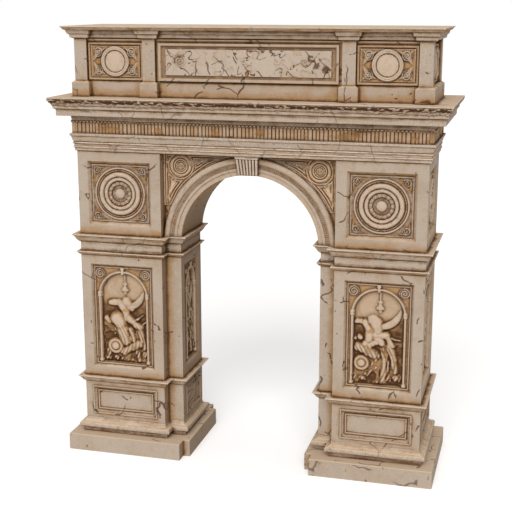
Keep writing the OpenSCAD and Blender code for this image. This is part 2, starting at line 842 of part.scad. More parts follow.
// Section of the archivolt: two flat bands, a hollow carved band and a hood
module archivolt_section() {
    band2 = arch_r + band_w;
    hollow = band2 + band2_w;
    hood = archivolt_r - hood_w;
    raised = band_out + band_step;
    polygon(concat(
        [[arch_r, 0], [arch_r, band_out], [band2, band_out], [band2, raised], [hollow, raised]],
        cavetto([hollow, raised], [hood, hood_out - band_step]),
        [[hood, hood_out], [archivolt_r, hood_out], [archivolt_r, 0]]
    ));
}

module archivolt_form() {
    difference() {
        intersection() {
            translate([0, -jamb_hy, arch_z])
                rotate([90, 0, 0])
                    rotate_extrude(angle = 180, $fn = 180)
                        archivolt_section();
            block([-pier_x, -jamb_hy - hood_out, z_upper], [pier_x, -jamb_hy, z_architrave]);
        }
        translate([0, -jamb_hy + past, 0])
            rotate([90, 0, 0])
                linear_extrude(hood_out + 2 * past)
                    keystone_outline();
    }
}

// Side of the keystone as [out, up]: a round foot, an S-curve and a square head; inset sinks a flute
function keystone_side(inset) = let (foot_z = arch_z + arch_r, head_z = z_architrave - crown_gap)
    concat(
        [[0, z_architrave], [0, foot_z]],
        ovolo([inset + lip_h - key_nose, foot_z], [inset - key_nose, foot_z + crown_gap]),
        cyma([inset - key_nose, foot_z + crown_gap], [inset + lip_h - key_out, head_z]),
        [[-key_out, head_z], [-key_out, z_architrave]]
    );

// Scrolled bracket: a wedge from the front, with upright ribs and flutes that follow its S-curve
module keystone_form() {
    rib_w = 2 * key_top / key_ribs;
    intersection() {
        translate([0, past - jamb_hy, 0])
            rotate([90, 0, 0])
                linear_extrude(key_out + 2 * past)
                    keystone_outline();
        translate([-key_top, -jamb_hy, 0])
            rotate([90, 0, 90]) {
                linear_extrude(2 * key_top) polygon(keystone_side(key_flute));
                for (k = [0:2:key_ribs - 1])
                    translate([0, 0, k * rib_w]) linear_extrude(rib_w) polygon(keystone_side(0));
            }
    }
}

// Turned rosette with a raised rim and boss
module rosette() {
    rotate([90, 0, 0])
        rotate_extrude() {
            square([rosette_r, rosette_rim]);
            translate([rosette_r - rosette_rim, 0]) square([rosette_rim, 1.5 * rosette_rim]);
            square([2 * rosette_boss - stem_r, 1.25 * rosette_rim]);
            square([rosette_boss, 2 * rosette_rim]);
        }
}

// Right half: a stem curls round the rosette over a scroll, and leaves point along the archivolt to the crown
module spandrel_carving() {
    translate([pier_x - rosette_side, -jamb_hy, z_architrave - rosette_drop]) {
        rosette();
        scroll_arc(rosette_r + stem_gap, stem_r, -38, 93);
        translate([scroll_side, 0, -scroll_drop]) volute(scroll_r, -150, 300);
    }
    for (k = [0:spray_leaves - 1])
        translate([0, -jamb_hy, arch_z])
            rotate([0, spray_turn - k, 0])
                translate([0, 0, archivolt_r + spray_gap + k * spray_step])
                    leaf(leaf_l - k * leaf_w, leaf_w, spray_fan * k - 84);
}

module rosettes_form() {
    for (s = [-1, 1])
        on_side(s) spandrel_carving();
}

/* Entablature */

module architrave() {
    band1 = z_architrave + fascia_h;
    band2 = band1 + fascia2_h;
    z_lip = z_frieze - 2 * lip_h;
    low = frieze_reach / 2;
    color(limestone)
        moulded(-pier_end, pier_end, pier_hy, concat(
            [[0, z_architrave]],
            ovolo([lip_h / 2, z_architrave + lip_h / 4], [low, z_architrave + lip_h]),
            [[low, band1], [low + lip_h / 4, band1], [low + lip_h / 4, band2], [low + lip_h / 2, band2]],
            cyma([low + lip_h / 2, band2 + lip_h], [architrave_reach - lip_h / 2, z_lip]),
            [[architrave_reach, z_lip], [architrave_reach, z_frieze]]
        ));
}

module frieze() {
    valley = frieze_reach - reed_d;
    color(brown_stone)
        translate([0, 0, z_frieze])
            linear_extrude(frieze_h)
                swelled_plan(pier_end + valley, pier_hy + valley, reed_pitch, reed_d);
}

module bead_course() {
    color(dark_stone)
        translate([0, 0, z_bed])
            linear_extrude(bead_h)
                swelled_plan(pier_end + frieze_reach, pier_hy + frieze_reach, bead_pitch, bead_out);
}

module cornice() {
    z_soffit = z_cornice + lip_h;
    corona_top = z_cornice + corona_h;
    cyma_foot = corona_top + crown_foot_h;
    fillet_reach = corona_reach + 2 * lip_h;
    z_lip = z_attic - lip_h;
    color(pale_stone)
        moulded(-pier_end, pier_end, pier_hy, concat(
            [[frieze_reach, z_bed + bead_h]],
            cavetto([frieze_reach, z_bed + bead_h + lip_h], [frieze_reach + lip_h, z_cornice]),
            [[corona_reach - lip_h / 4, z_cornice + lip_h / 2]],
            [[corona_reach, z_soffit], [corona_reach, corona_top], [fillet_reach, corona_top + lip_h]],
            [[fillet_reach, cyma_foot - lip_h / 2]],
            cyma([fillet_reach, cyma_foot], [cornice_reach - lip_h / 4, z_lip]),
            [[cornice_reach, z_lip], [cornice_reach, z_attic]]
        ));
}

/* Attic */

// Blocks under or over the posts and pilasters, with the same profile on each
module over_pilasters(profile) {
    post_hx = attic_hx - pilaster_w;
    for (side = [-1, 1]) {
        moulded(side < 0 ? -attic_hx : post_hx, side < 0 ? -post_hx : attic_hx, attic_hy, profile);
        moulded(side * pilaster_x - pilaster_w / 2, side * pilaster_x + pilaster_w / 2, attic_hy, profile);
    }
}

module attic_base() {
    z_slope = z_wall - attic_base_slope;
    profile = [[attic_base_reach, z_attic], [attic_base_reach, z_slope], [0, z_wall]];
    low = attic_base_reach / 3;
    core = [[low, z_attic], [low, z_slope], [0, z_wall]];
    color(limestone) {
        moulded(-attic_wall_x, attic_wall_x, attic_wall_y, core);
        over_pilasters(profile);
    }
}

module attic_wall() {
    z_fillet = z_attic_cornice - attic_fillet_h;
    color(limestone)
        difference() {
            moulded(-attic_wall_x, attic_wall_x, attic_wall_y, [
                [0, z_wall], [0, z_fillet],
                [attic_fillet_out, z_fillet + attic_fillet_h / 2], [attic_fillet_out, z_attic_cornice]
            ]);
            attic_posts(past);
        }
}

// Corner posts and pilasters; the wall is cut with the same shapes run on by extra at both ends
module attic_posts(extra) {
    z0 = z_wall - extra;
    z1 = z_attic_cornice + extra;
    for (sx = [0, 1], sy = [0, 1])
        mirror([sx, 0, 0])
            mirror([0, sy, 0]) {
                block([attic_hx - pilaster_w, attic_hy - pilaster_w, z0], [attic_hx, attic_hy, z1]);
                translate([pilaster_x - pilaster_w / 2, attic_wall_y, z0])
                    cube([pilaster_w, attic_setback, z1 - z0]);
            }
}

module attic_pilasters() {
    color(pale_stone) attic_posts(0);
}

frame_h = attic_wall_h - attic_fillet_h - 2 * frame_gap;
frame_mid = z_wall + frame_gap + frame_h / 2;
end_frame_w = 2 * (attic_hy - pilaster_w - frame_gap);
side_frame_w = attic_bay - 2 * frame_gap;
side_frame_x = pilaster_x + (pilaster_w + attic_bay) / 2;
tablet_w = 2 * (pilaster_x - pilaster_w / 2 - tablet_gap);

// Frame against the wall at y = 0, facing -Y: flat outside, sloping inwards over half of its width
module frame_form(w, h, band) {
    difference() {
        block([-w / 2, -frame_out, -h / 2], [w / 2, 0, h / 2]);
        translate([0, -frame_out, 0]) sunk_panel(w - band, h - band, band / 2, frame_out);
        block([band - w / 2, -frame_out, band - h / 2], [w / 2 - band, past, h / 2 - band]);
    }
}

module tablet_form() {
    inner_w = tablet_w / 2 - tablet_frame_w;
    inner_h = frame_h / 2 - tablet_frame_w;
    translate([0, -attic_wall_y, frame_mid]) {
        frame_form(tablet_w, frame_h, tablet_frame_w);
        block([tablet_border - inner_w, -field_out, tablet_edge - inner_h],
            [inner_w - tablet_border, 0, inner_h - tablet_edge]);
    }
}

module on_attic_sides() {
    for (turn = [0, 180])
        rotate([0, 0, turn]) {
            for (side = [-1, 1])
                translate([side * side_frame_x, -attic_wall_y, frame_mid]) children(0);
            translate([attic_wall_x, 0, frame_mid]) rotate([0, 0, 90]) children(1);
        }
}

module attic_frames() {
    color(limestone)
        on_attic_sides() {
            frame_form(side_frame_w, frame_h, frame_w);
            frame_form(end_frame_w, frame_h, frame_w);
        }
}

// Plain disc in a ring that fits its frame, with a scroll in each corner
module attic_roundel(w) {
    eye = frame_w + attic_roundel_gap + attic_scroll_r + stem_r;
    rim_r = min(frame_h, w) / 2 - frame_w - attic_roundel_gap;
    disc_r = rim_r - attic_ring_w;
    rotate([90, 0, 0])
        rotate_extrude() {
            square([rim_r, attic_roundel_t / 2]);
            translate([disc_r + attic_groove_w, 0])
                square([attic_ring_w - attic_groove_w, attic_roundel_t]);
            square([disc_r, attic_roundel_t]);
        }
    in_corners()
        translate([w / 2 - eye, 0, frame_h / 2 - eye])
            volute(attic_scroll_r, -30, 240);
}

module attic_roundels() {
    color(pale_stone)
        on_attic_sides() {
            attic_roundel(side_frame_w);
            attic_roundel(end_frame_w);
        }
}

module attic_cornice() {
    band_top = z_attic_cornice + attic_band_h;
    fascia_top = band_top + attic_fascia_h;
    z_lip = z_top - lip_h;
    profile = [
        [0, z_attic_cornice], [attic_band_reach - lip_h / 2, z_attic_cornice + lip_h],
        [attic_band_reach, band_top], [attic_fascia_reach - lip_h, band_top + lip_h / 2],
        [attic_fascia_reach, fascia_top]
    ];
    color(pale_stone) {
        moulded(-attic_wall_x, attic_wall_x, attic_wall_y, profile);
        over_pilasters(profile);
        moulded(-attic_hx, attic_hx, attic_hy, concat(
            [[attic_fascia_reach, fascia_top]],
            cyma([attic_fascia_reach + lip_h, fascia_top + lip_h / 4],
                [attic_cornice_reach - lip_h / 4, z_lip]),
            [[attic_cornice_reach, z_lip], [attic_cornice_reach, z_top]]
        ));
    }
}

module left_plinth() { color(limestone) on_side(-1) plinth_form(); }
module right_plinth() { color(limestone) on_side(1) plinth_form(); }
module left_base_moulding() { color(pale_stone) on_side(-1) base_form(); }
module right_base_moulding() { color(pale_stone) on_side(1) base_form(); }
module left_pedestal() { color(limestone) on_side(-1) pedestal_form(); }
module right_pedestal() { color(limestone) on_side(1) pedestal_form(); }
module left_pedestal_cap() { color(pale_stone) on_side(-1) cap_form(); }
module right_pedestal_cap() { color(pale_stone) on_side(1) cap_form(); }
module left_shaft() { color(limestone) on_side(-1) shaft_form(); }
module right_shaft() { color(limestone) on_side(1) shaft_form(); }
module left_jamb() { color(limestone) on_side(-1) jamb_form(); }
module right_jamb() { color(limestone) on_side(1) jamb_form(); }

// Relief slabs on the four faces of a pier; the figures aren't mirrored
module front_relief(s) {
    color(brown_stone)
        translate([s * pier_mid, -pier_hy, shaft_panel_mid])
            outer_relief();
}
module back_relief(s) {
    color(brown_stone)
        translate([s * pier_mid, pier_hy, shaft_panel_mid])
            rotate([0, 0, 180])
                outer_relief();
}
module end_relief(s) {
    color(brown_stone)
        translate([s * pier_end, 0, shaft_panel_mid])
            rotate([0, 0, s * 90])
                outer_relief();
}
module reveal_relief(s) {
    color(brown_stone)
        translate([s * half_span, 0, shaft_panel_mid])
            rotate([0, 0, -s * 90])
                passage_relief();
}
module left_front_relief() { front_relief(-1); }
module right_front_relief() { front_relief(1); }
module left_back_relief() { back_relief(-1); }
module right_back_relief() { back_relief(1); }
module left_end_relief() { end_relief(-1); }
module right_end_relief() { end_relief(1); }
module left_reveal_relief() { reveal_relief(-1); }
module right_reveal_relief() { reveal_relief(1); }

module left_impost() { color(pale_stone) on_side(-1) impost_form(); }
module right_impost() { color(pale_stone) on_side(1) impost_form(); }
module left_upper_pier() { color(limestone) on_side(-1) upper_pier_form(); }
module right_upper_pier() { color(limestone) on_side(1) upper_pier_form(); }
module left_roundels() { color(brown_stone) on_side(-1) on_outer_faces(medal_mid) roundel_panel(); }
module right_roundels() { color(brown_stone) on_side(1) on_outer_faces(medal_mid) roundel_panel(); }

module front_archivolt() { color(dark_stone) archivolt_form(); }
module back_archivolt() { color(dark_stone) rotate([0, 0, 180]) archivolt_form(); }
module front_keystone() { color(pale_stone) keystone_form(); }
module back_keystone() { color(pale_stone) rotate([0, 0, 180]) keystone_form(); }
module front_rosettes() { color(brown_stone) rosettes_form(); }
module back_rosettes() { color(brown_stone) rotate([0, 0, 180]) rosettes_form(); }
module front_tablet() { color(limestone) tablet_form(); }
module back_tablet() { color(limestone) rotate([0, 0, 180]) tablet_form(); }

left_plinth();
right_plinth();
left_base_moulding();
right_base_moulding();
left_pedestal();
right_pedestal();
left_pedestal_cap();
right_pedestal_cap();
left_shaft();
right_shaft();
left_jamb();
right_jamb();
left_front_relief();
right_front_relief();
left_back_relief();
right_back_relief();
left_end_relief();
right_end_relief();
left_reveal_relief();
right_reveal_relief();
left_impost();
right_impost();
left_upper_pier();
right_upper_pier();
left_roundels();
right_roundels();
vault();
spandrel_wall();
front_archivolt();
back_archivolt();
front_keystone();
back_keystone();
front_rosettes();
back_rosettes();
architrave();
frieze();
bead_course();
cornice();
attic_base();
attic_wall();
attic_pilasters();
front_tablet();
back_tablet();
attic_frames();
attic_roundels();
attic_cornice();
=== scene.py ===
import bpy
import json
import math
import numpy as np
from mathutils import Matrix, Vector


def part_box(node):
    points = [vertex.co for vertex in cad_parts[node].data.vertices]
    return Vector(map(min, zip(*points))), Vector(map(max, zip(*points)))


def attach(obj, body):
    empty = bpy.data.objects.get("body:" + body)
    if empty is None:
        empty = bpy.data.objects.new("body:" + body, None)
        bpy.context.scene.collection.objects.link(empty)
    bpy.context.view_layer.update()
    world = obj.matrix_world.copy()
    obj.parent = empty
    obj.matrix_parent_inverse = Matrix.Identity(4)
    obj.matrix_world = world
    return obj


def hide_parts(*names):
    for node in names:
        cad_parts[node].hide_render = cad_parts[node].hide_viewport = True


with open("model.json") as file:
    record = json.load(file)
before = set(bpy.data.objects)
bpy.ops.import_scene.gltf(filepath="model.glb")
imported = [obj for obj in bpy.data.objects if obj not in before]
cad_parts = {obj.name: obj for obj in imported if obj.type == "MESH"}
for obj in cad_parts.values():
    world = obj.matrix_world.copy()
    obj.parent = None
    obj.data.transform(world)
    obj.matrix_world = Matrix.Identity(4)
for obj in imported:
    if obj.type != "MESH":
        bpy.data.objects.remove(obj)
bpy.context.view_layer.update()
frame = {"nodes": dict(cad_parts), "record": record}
nodes = frame["nodes"]
slotOf = {entry["node"]: entry["material_slot"] for entry in frame["record"]["subparts"]}
sides = ((-1, "left"), (1, "right"))
ways = ((-1, "front"), (1, "back"))
print("frame loaded:", len(nodes), "nodes")


# Node helpers


# A plain value sets a socket and an output is wired to it
def feed(tree, value, socket):
    if isinstance(value, bpy.types.NodeSocket):
        tree.links.new(value, socket)
    else:
        socket.default_value = value


# Settings with an input's name feed it; the others are properties of the node
def addNode(tree, kind, **settings):
    node = tree.nodes.new("ShaderNode" + kind)
    for key, value in settings.items():
        if key in node.inputs:
            feed(tree, value, node.inputs[key])
        else:
            setattr(node, key, value)
    return node


# Group with named sockets: each kind of socket lists the names that have it
def newGroup(name, inputs, outputs):
    tree = bpy.data.node_groups.new(name, "ShaderNodeTree")
    for end, kinds in (("INPUT", inputs), ("OUTPUT", outputs)):
        for kind, labels in kinds.items():
            for label in labels:
                tree.interface.new_socket(name=label, in_out=end, socket_type="NodeSocket" + kind)
    return tree, tree.nodes.new("NodeGroupInput"), tree.nodes.new("NodeGroupOutput")


def placeGroup(tree, group, **inputs):
    node = tree.nodes.new("ShaderNodeGroup")
    node.node_tree = group
    for label, value in inputs.items():
        feed(tree, value, node.inputs[label])
    return node


# New material whose Principled shader is fed later
def newMaterial(name):
    material = bpy.data.materials.new(name)
    material.use_nodes = True
    return material, material.node_tree


def feedShader(tree, looks):
    for label, value in looks.items():
        feed(tree, value, tree.nodes["Principled BSDF"].inputs[label])


def addObject(name, data):
    thing = bpy.data.objects.new(name, data)
    bpy.context.scene.collection.objects.link(thing)
    return thing


def maths(tree, operation, a, b, clamp=False):
    node = addNode(tree, "Math", operation=operation, use_clamp=clamp)
    feed(tree, a, node.inputs[0])
    feed(tree, b, node.inputs[1])
    return node.outputs[0]


def times(tree, a, b):
    return maths(tree, "MULTIPLY", a, b)


def plus(tree, a, b):
    return maths(tree, "ADD", a, b)


def minus(tree, a, b, clamp=False):
    return maths(tree, "SUBTRACT", a, b, clamp)


# Smooth step from 0 at the low value to 1 at the high one
def ramp(tree, value, low, high):
    ends = {"From Min": low, "From Max": high}
    return addNode(tree, "MapRange", interpolation_type="SMOOTHSTEP", Value=value, **ends).outputs["Result"]


def mixColour(tree, factor, a, b):
    return addNode(tree, "Mix", data_type="RGBA", Factor=factor, A=a, B=b).outputs["Result"]


def noise(tree, coords, scale, detail=4.0, roughness=0.55, distortion=0.0):
    return addNode(tree, "TexNoise", Vector=coords, Scale=scale, Detail=detail, Roughness=roughness,
                   Distortion=distortion).outputs["Fac"]


# Grain of the stone: broad patches, small mottling, fine speckle and level streaks, each from 0 to 1.
# A row is a noise's scale, detail, roughness and distortion; streaks run on coordinates squeezed in height
grains = {
    "Patch": (0.55, 5.0, 0.6, 0.4),
    "Mottle": (3.4, 6.0, 0.62),
    "Speckle": (26.0, 3.0, 0.7),
    "Streak": (2.2, 4.0, 0.6),
}
streakSqueeze = (0.7, 0.7, 11.0)


def buildGrainGroup():
    tree, into, out = newGroup("stoneGrain", {"Vector": ["Coords"]}, {"Float": grains})
    coords = into.outputs["Coords"]
    level = addNode(tree, "Mapping", Vector=coords, Scale=streakSqueeze).outputs["Vector"]
    for label, row in grains.items():
        feed(tree, noise(tree, level if label == "Streak" else coords, *row), out.inputs[label])
    return tree


# Patina: warm patches and pale flecks, tan and painted top light on faces that look up, ochre stain with
# painted shade where the surface is closed in, painted brown shade on the sides facing into the passage, soot
# and painted shade near black in tight creases, pale wear and painted highlight on edges and carved tops. A
# row is a mask's low end, high end and strength
patinas = {
    "patch": (0.42, 0.68, 0.6),
    "mottle": (0.50, 0.68, 0.5),
    "fleck": (0.46, 0.64, 0.40),
    "stain": (0.06, 0.27, 0.94),
    "soot_and_shade": (0.11, 0.38, 1.0),
    "worn": (0.25, 0.60),
    "passageShadeShare": 0.55,
    "wobble": 0.45,
}


def buildPatinaGroup():
    tree, into, out = newGroup(
        "patinaLayer",
        {"Color": ("Stone", "Warm", "Stain", "Soot_And_Shade", "Pale", "Tan", "Passage_Shade"),
         "Float": ("RecessStainAndShade", "CreaseSootAndShade", "LedgeTopLight", "Edge", "Streaks", "PassageShadeMask", *grains)},
        {"Color": ["Color"]})
    sock = into.outputs

    def lay(tone, mask, row, colour):
        low, high, strength = patinas[row]
        return mixColour(tree, times(tree, ramp(tree, mask, low, high), strength), tone, sock[colour])

    tone = lay(sock["Stone"], sock["Patch"], "patch", "Warm")
    tone = lay(tone, sock["Mottle"], "mottle", "Warm")
    tone = lay(tone, sock["Speckle"], "fleck", "Pale")
    wobble = times(tree, minus(tree, sock["Mottle"], 0.5), patinas["wobble"])
    lines = times(tree, minus(tree, sock["Streak"], 0.5), sock["Streaks"])
    wobble = plus(tree, wobble, lines)
    # Tan, also painted top light, on faces that look up
    tone = mixColour(tree, sock["LedgeTopLight"], tone, sock["Tan"])
    # Ochre stain, with painted shade, where the surface is closed in
    tone = lay(tone, plus(tree, sock["RecessStainAndShade"], wobble), "stain", "Stain")
    # Painted brown shade on the sides that face into the passage
    tone = mixColour(tree, times(tree, sock["PassageShadeMask"], patinas["passageShadeShare"]), tone, sock["Passage_Shade"])
    # Soot, also painted shade, near black in tight creases
    tone = lay(tone, plus(tree, sock["CreaseSootAndShade"], wobble), "soot_and_shade", "Soot_And_Shade")
    # Pale on worn edges, also painted highlight on edges and carved tops
    worn = times(tree, sock["Edge"], ramp(tree, sock["Mottle"], *patinas["worn"]))
    feed(tree, mixColour(tree, worn, tone, sock["Pale"]), out.inputs["Color"])
    return tree


# Cracks: thin Voronoi borders on bent coordinates. Pits: small slanting Voronoi cells on the same ones.
# Both fade in over the part's two values of a broad noise, which is given by its scale and detail
crackShape = {
    "bend": {"Scale": 1.3, "Detail": 2.0}, "push": 0.6,
    "slant": {"Scale": (1.7, 1.7, 0.8), "Rotation": (0.3, 0.5, 0.0)},
    "Crack": {"cells": 0.91, "width": (0.006, 0.028), "noise": (1.35, 3.0), "part": (0.54, 0.57)},
    "Pit": {"cells": 2.1, "width": (0.06, 0.12), "noise": (1.9, 2.0), "part": (0.48, 0.53)},
}


def buildCrackGroup():
    tree, into, out = newGroup("crackLines", {"Vector": ["Coords"], "Float": ["Amount"]},
                               {"Float": ["Crack", "Pit"]})
    coords = into.outputs["Coords"]
    bend = addNode(tree, "TexNoise", Vector=coords, **crackShape["bend"]).outputs["Color"]
    push = addNode(tree, "VectorMath", operation="MULTIPLY_ADD")
    for socket, value in zip(push.inputs, (bend, (crackShape["push"],) * 3, coords)):
        feed(tree, value, socket)
    bent = push.outputs[0]
    slant = addNode(tree, "Mapping", Vector=bent, **crackShape["slant"]).outputs["Vector"]
    for label, feature, start in (("Crack", "DISTANCE_TO_EDGE", bent), ("Pit", "F1", slant)):
        row = crackShape[label]
        cells = addNode(tree, "TexVoronoi", feature=feature, Vector=start, Scale=row["cells"])
        mark = minus(tree, 1.0, ramp(tree, cells.outputs["Distance"], *row["width"]))
        part = ramp(tree, noise(tree, coords, *row["noise"]), *row["part"])
        feed(tree, times(tree, times(tree, mark, part), into.outputs["Amount"]), out.inputs[label])
    return tree


grainGroup = buildGrainGroup()
patinaGroup = buildPatinaGroup()
crackGroup = buildCrackGroup()

# Linear colours that the finishes share
tones = {
    "stone": (0.415, 0.335, 0.262),
    "warm": (0.350, 0.258, 0.178),
    # Ochre stain, also painted shade in recesses
    "stain": (0.375, 0.208, 0.082),
    # Soot, also painted shade in creases, and the dark of cracks
    "soot_and_shade": (0.072, 0.028, 0.009),
    # Pale flecks, worn edges and painted highlights
    "pale": (0.560, 0.462, 0.372),
    # Tan, also painted top light on faces that look up
    "tan": (0.600, 0.450, 0.305),
    # Painted brown shade for the sides that face into the passage
    "passage_shade": (0.200, 0.115, 0.055),
}
# Weather on every finish: how far a face looks down, up or towards the passage before it takes painted shade
# beneath, tan with painted top light, or painted passage shade, how far out the passage's sides end, which
# edges pale with wear and painted highlight, how dark a crack is, and how far each grain stands up
weathering = {
    "roughness": 0.85, "specular": 0.25, "under": (0.15, 0.75), "undersideShade": {"RecessStainAndShade": 0.22, "CreaseSootAndShade": 0.12},
    "ledgeTopLight": (0.30, 0.85), "topLightShare": 0.80, "inward": (1.2, 2.3), "passageEnd": (3.12, 3.28),
    "creaseShare": 0.5, "sharp": (0.25, 0.75), "raised": 0.45, "gapDark": 0.85, "recessSamples": 6,
    "edgeSamples": 8, "rise": {"Mottle": 0.35, "Speckle": 0.15}, "streakRise": 1.6,
    "bump": {"Strength": 0.45, "Distance": 0.025},
}


# One stone finish, with its own colours in place of shared ones. Reach sets how far a recess takes stain and
# painted shade, tight how close a crease takes soot and painted shade, the edge width how wide an edge pales
# with wear and painted highlight, and edge how much. Alone leaves other pieces out of it. A carved piece's
# depth attribute, 0 on top and 1 or more in its hollows, is dirt and painted shade and is added by the share
# cut to the stain and soot; its raised attribute, a painted highlight on carved tops, is added to the worn
# edge
def stoneFinish(name, reach=0.40, tight=0.12, paleEdgeWidth=0.05, edge=0.8, cracks=1.0, cut=0.28, streaks=0.2,
                alone=False, **colours):
    w = weathering
    colours = {label.title(): (*colour, 1.0) for label, colour in {**tones, **colours}.items()}
    material, tree = newMaterial(name)
    coords = addNode(tree, "TexCoord").outputs["Object"]
    normal = addNode(tree, "NewGeometry").outputs["Normal"]
    place, lie = (addNode(tree, "SeparateXYZ", Vector=vector).outputs for vector in (coords, normal))
    carved, raised = (addNode(tree, "Attribute", attribute_name=label).outputs["Fac"]
                      for label in ("depth", "raised"))
    grain = placeGroup(tree, grainGroup, Coords=coords).outputs
    lines = placeGroup(tree, crackGroup, Coords=coords, Amount=cracks).outputs
    masks = {label: grain[label] for label in grains}
    # Faces that look down take painted shade beneath, added to the recess and crease masks
    under = ramp(tree, times(tree, lie["Z"], -1.0), *w["under"])
    # Broad and tight occlusion with the carved depth give stain and soot, also painted shade in recesses and
    # creases
    for label, distance, share in (("RecessStainAndShade", reach, cut), ("CreaseSootAndShade", tight, w["creaseShare"] * cut)):
        recess = addNode(tree, "AmbientOcclusion", Distance=distance, samples=w["recessSamples"],
                         only_local=alone)
        closed = minus(tree, 1.0, recess.outputs["AO"])
        closed = plus(tree, closed, times(tree, carved, share))
        masks[label] = plus(tree, closed, times(tree, under, w["undersideShade"][label]))
    # Faces that look up: tan and painted top light
    masks["LedgeTopLight"] = times(tree, ramp(tree, lie["Z"], *w["ledgeTopLight"]), w["topLightShare"])
    # Painted passage shade: on faces turned towards the passage, fading out beyond its ends
    inward = times(tree, times(tree, place["X"], lie["X"]), -1.0)
    beyond = ramp(tree, maths(tree, "ABSOLUTE", place["X"], 0.0), *w["passageEnd"])
    masks["PassageShadeMask"] = minus(tree, ramp(tree, inward, *w["inward"]), beyond, True)
    # Edges and carved tops: pale wear and painted highlight
    corner = addNode(tree, "AmbientOcclusion", Distance=paleEdgeWidth, samples=w["edgeSamples"], inside=True,
                     only_local=True)
    sharp = ramp(tree, minus(tree, 1.0, corner.outputs["AO"]), *w["sharp"])
    masks["Edge"] = maths(tree, "MAXIMUM", times(tree, sharp, edge), times(tree, raised, w["raised"]))
    patina = placeGroup(tree, patinaGroup, Streaks=streaks, **colours, **masks)
    gap = maths(tree, "MAXIMUM", lines["Crack"], lines["Pit"])
    height = times(tree, gap, -1.0)
    for label, rise in {**w["rise"], "Streak": w["streakRise"] * streaks}.items():
        height = plus(tree, height, times(tree, grain[label], rise))
    colour = mixColour(tree, times(tree, gap, w["gapDark"]), patina.outputs["Color"], colours["Soot_And_Shade"])
    feedShader(tree, {
        "Base Color": colour,
        "Roughness": w["roughness"],
        "Specular IOR Level": w["specular"],
        "Normal": addNode(tree, "Bump", Height=height, **w["bump"]).outputs["Normal"],
    })
    return material


wallStone = stoneFinish("wallStone", reach=0.33)
plinthStone = stoneFinish("plinthStone", reach=0.25, cracks=0.8, alone=True)
# Moulded stone: a brighter pale and tan paint highlights on its lips and top light on its ledges
mouldedStone = stoneFinish("mouldedStone", reach=0.16, tight=0.16, paleEdgeWidth=0.055, edge=1.0, cracks=0.5,
                           streaks=0.6, pale=(0.76, 0.63, 0.51), tan=(0.66, 0.49, 0.33))
carvedStone = stoneFinish("carvedStone", reach=0.18, tight=0.09, cracks=0.15,
                          stone=(0.44, 0.32, 0.22), pale=(0.63, 0.51, 0.40))
bandStone = stoneFinish("bandStone", reach=0.25, cracks=0.25, cut=0.55, streaks=0.4,
                        stone=(0.37, 0.26, 0.17))
frameStone = stoneFinish("frameStone", tight=0.045, cracks=0.3, streaks=0.4,
                         stone=(0.40, 0.285, 0.185), warm=(0.37, 0.235, 0.13))
# Spandrel stone: lighter and warmer than the rest, painted light against the shade under the architrave
brightenedSpandrelStone = stoneFinish("brightenedSpandrelStone", reach=0.18, tight=0.05, cracks=0.1,
                            stone=(0.56, 0.40, 0.25), warm=(0.50, 0.33, 0.18),
                            stain=(0.46, 0.26, 0.105), pale=(0.74, 0.57, 0.42))
atticStone = stoneFinish("atticStone", tight=0.05)
# Vault stone: darker colours and a broad reach, painted shade inside the arch
shadedVaultStone = stoneFinish("shadedVaultStone", reach=0.9, stone=(0.33, 0.255, 0.185), warm=(0.27, 0.19, 0.125))
finishes = {"wall_stone": wallStone, "moulded_stone": mouldedStone, "carved_stone": carvedStone,
            "weathered_stone": bandStone}
special = {"attic_frames": frameStone, "attic_wall": atticStone, "vault": shadedVaultStone,
           "left_plinth": plinthStone, "right_plinth": plinthStone}
print("finishes made")


# CAD nodes keep their shape: edges are eased a little, and each takes its slot's finish or one of its own
easing = {"merge": 0.0005, "width": 0.014, "segments": 2, "angle": 28, "arris": 60}


def easeEdges(piece):
    weld = piece.modifiers.new("weld", "WELD")
    weld.merge_threshold = easing["merge"]
    bevel = piece.modifiers.new("ease", "BEVEL")
    bevel.width = easing["width"]
    bevel.segments = easing["segments"]
    bevel.limit_method = "ANGLE"
    bevel.angle_limit = math.radians(easing["angle"])
    bevel.harden_normals = True
    bevel.use_clamp_overlap = True


for nodeName, node in nodes.items():
    node.data.materials.clear()
    node.data.materials.append(special.get(nodeName, finishes[slotOf[nodeName]]))
    easeEdges(node)
print("stone laid on the frame")


# Mesh helpers
cornerSigns = np.array([[-1, -1], [1, -1], [1, 1], [-1, 1]])
mouldingDirt = 0.4  # depth attribute all along a plain bead


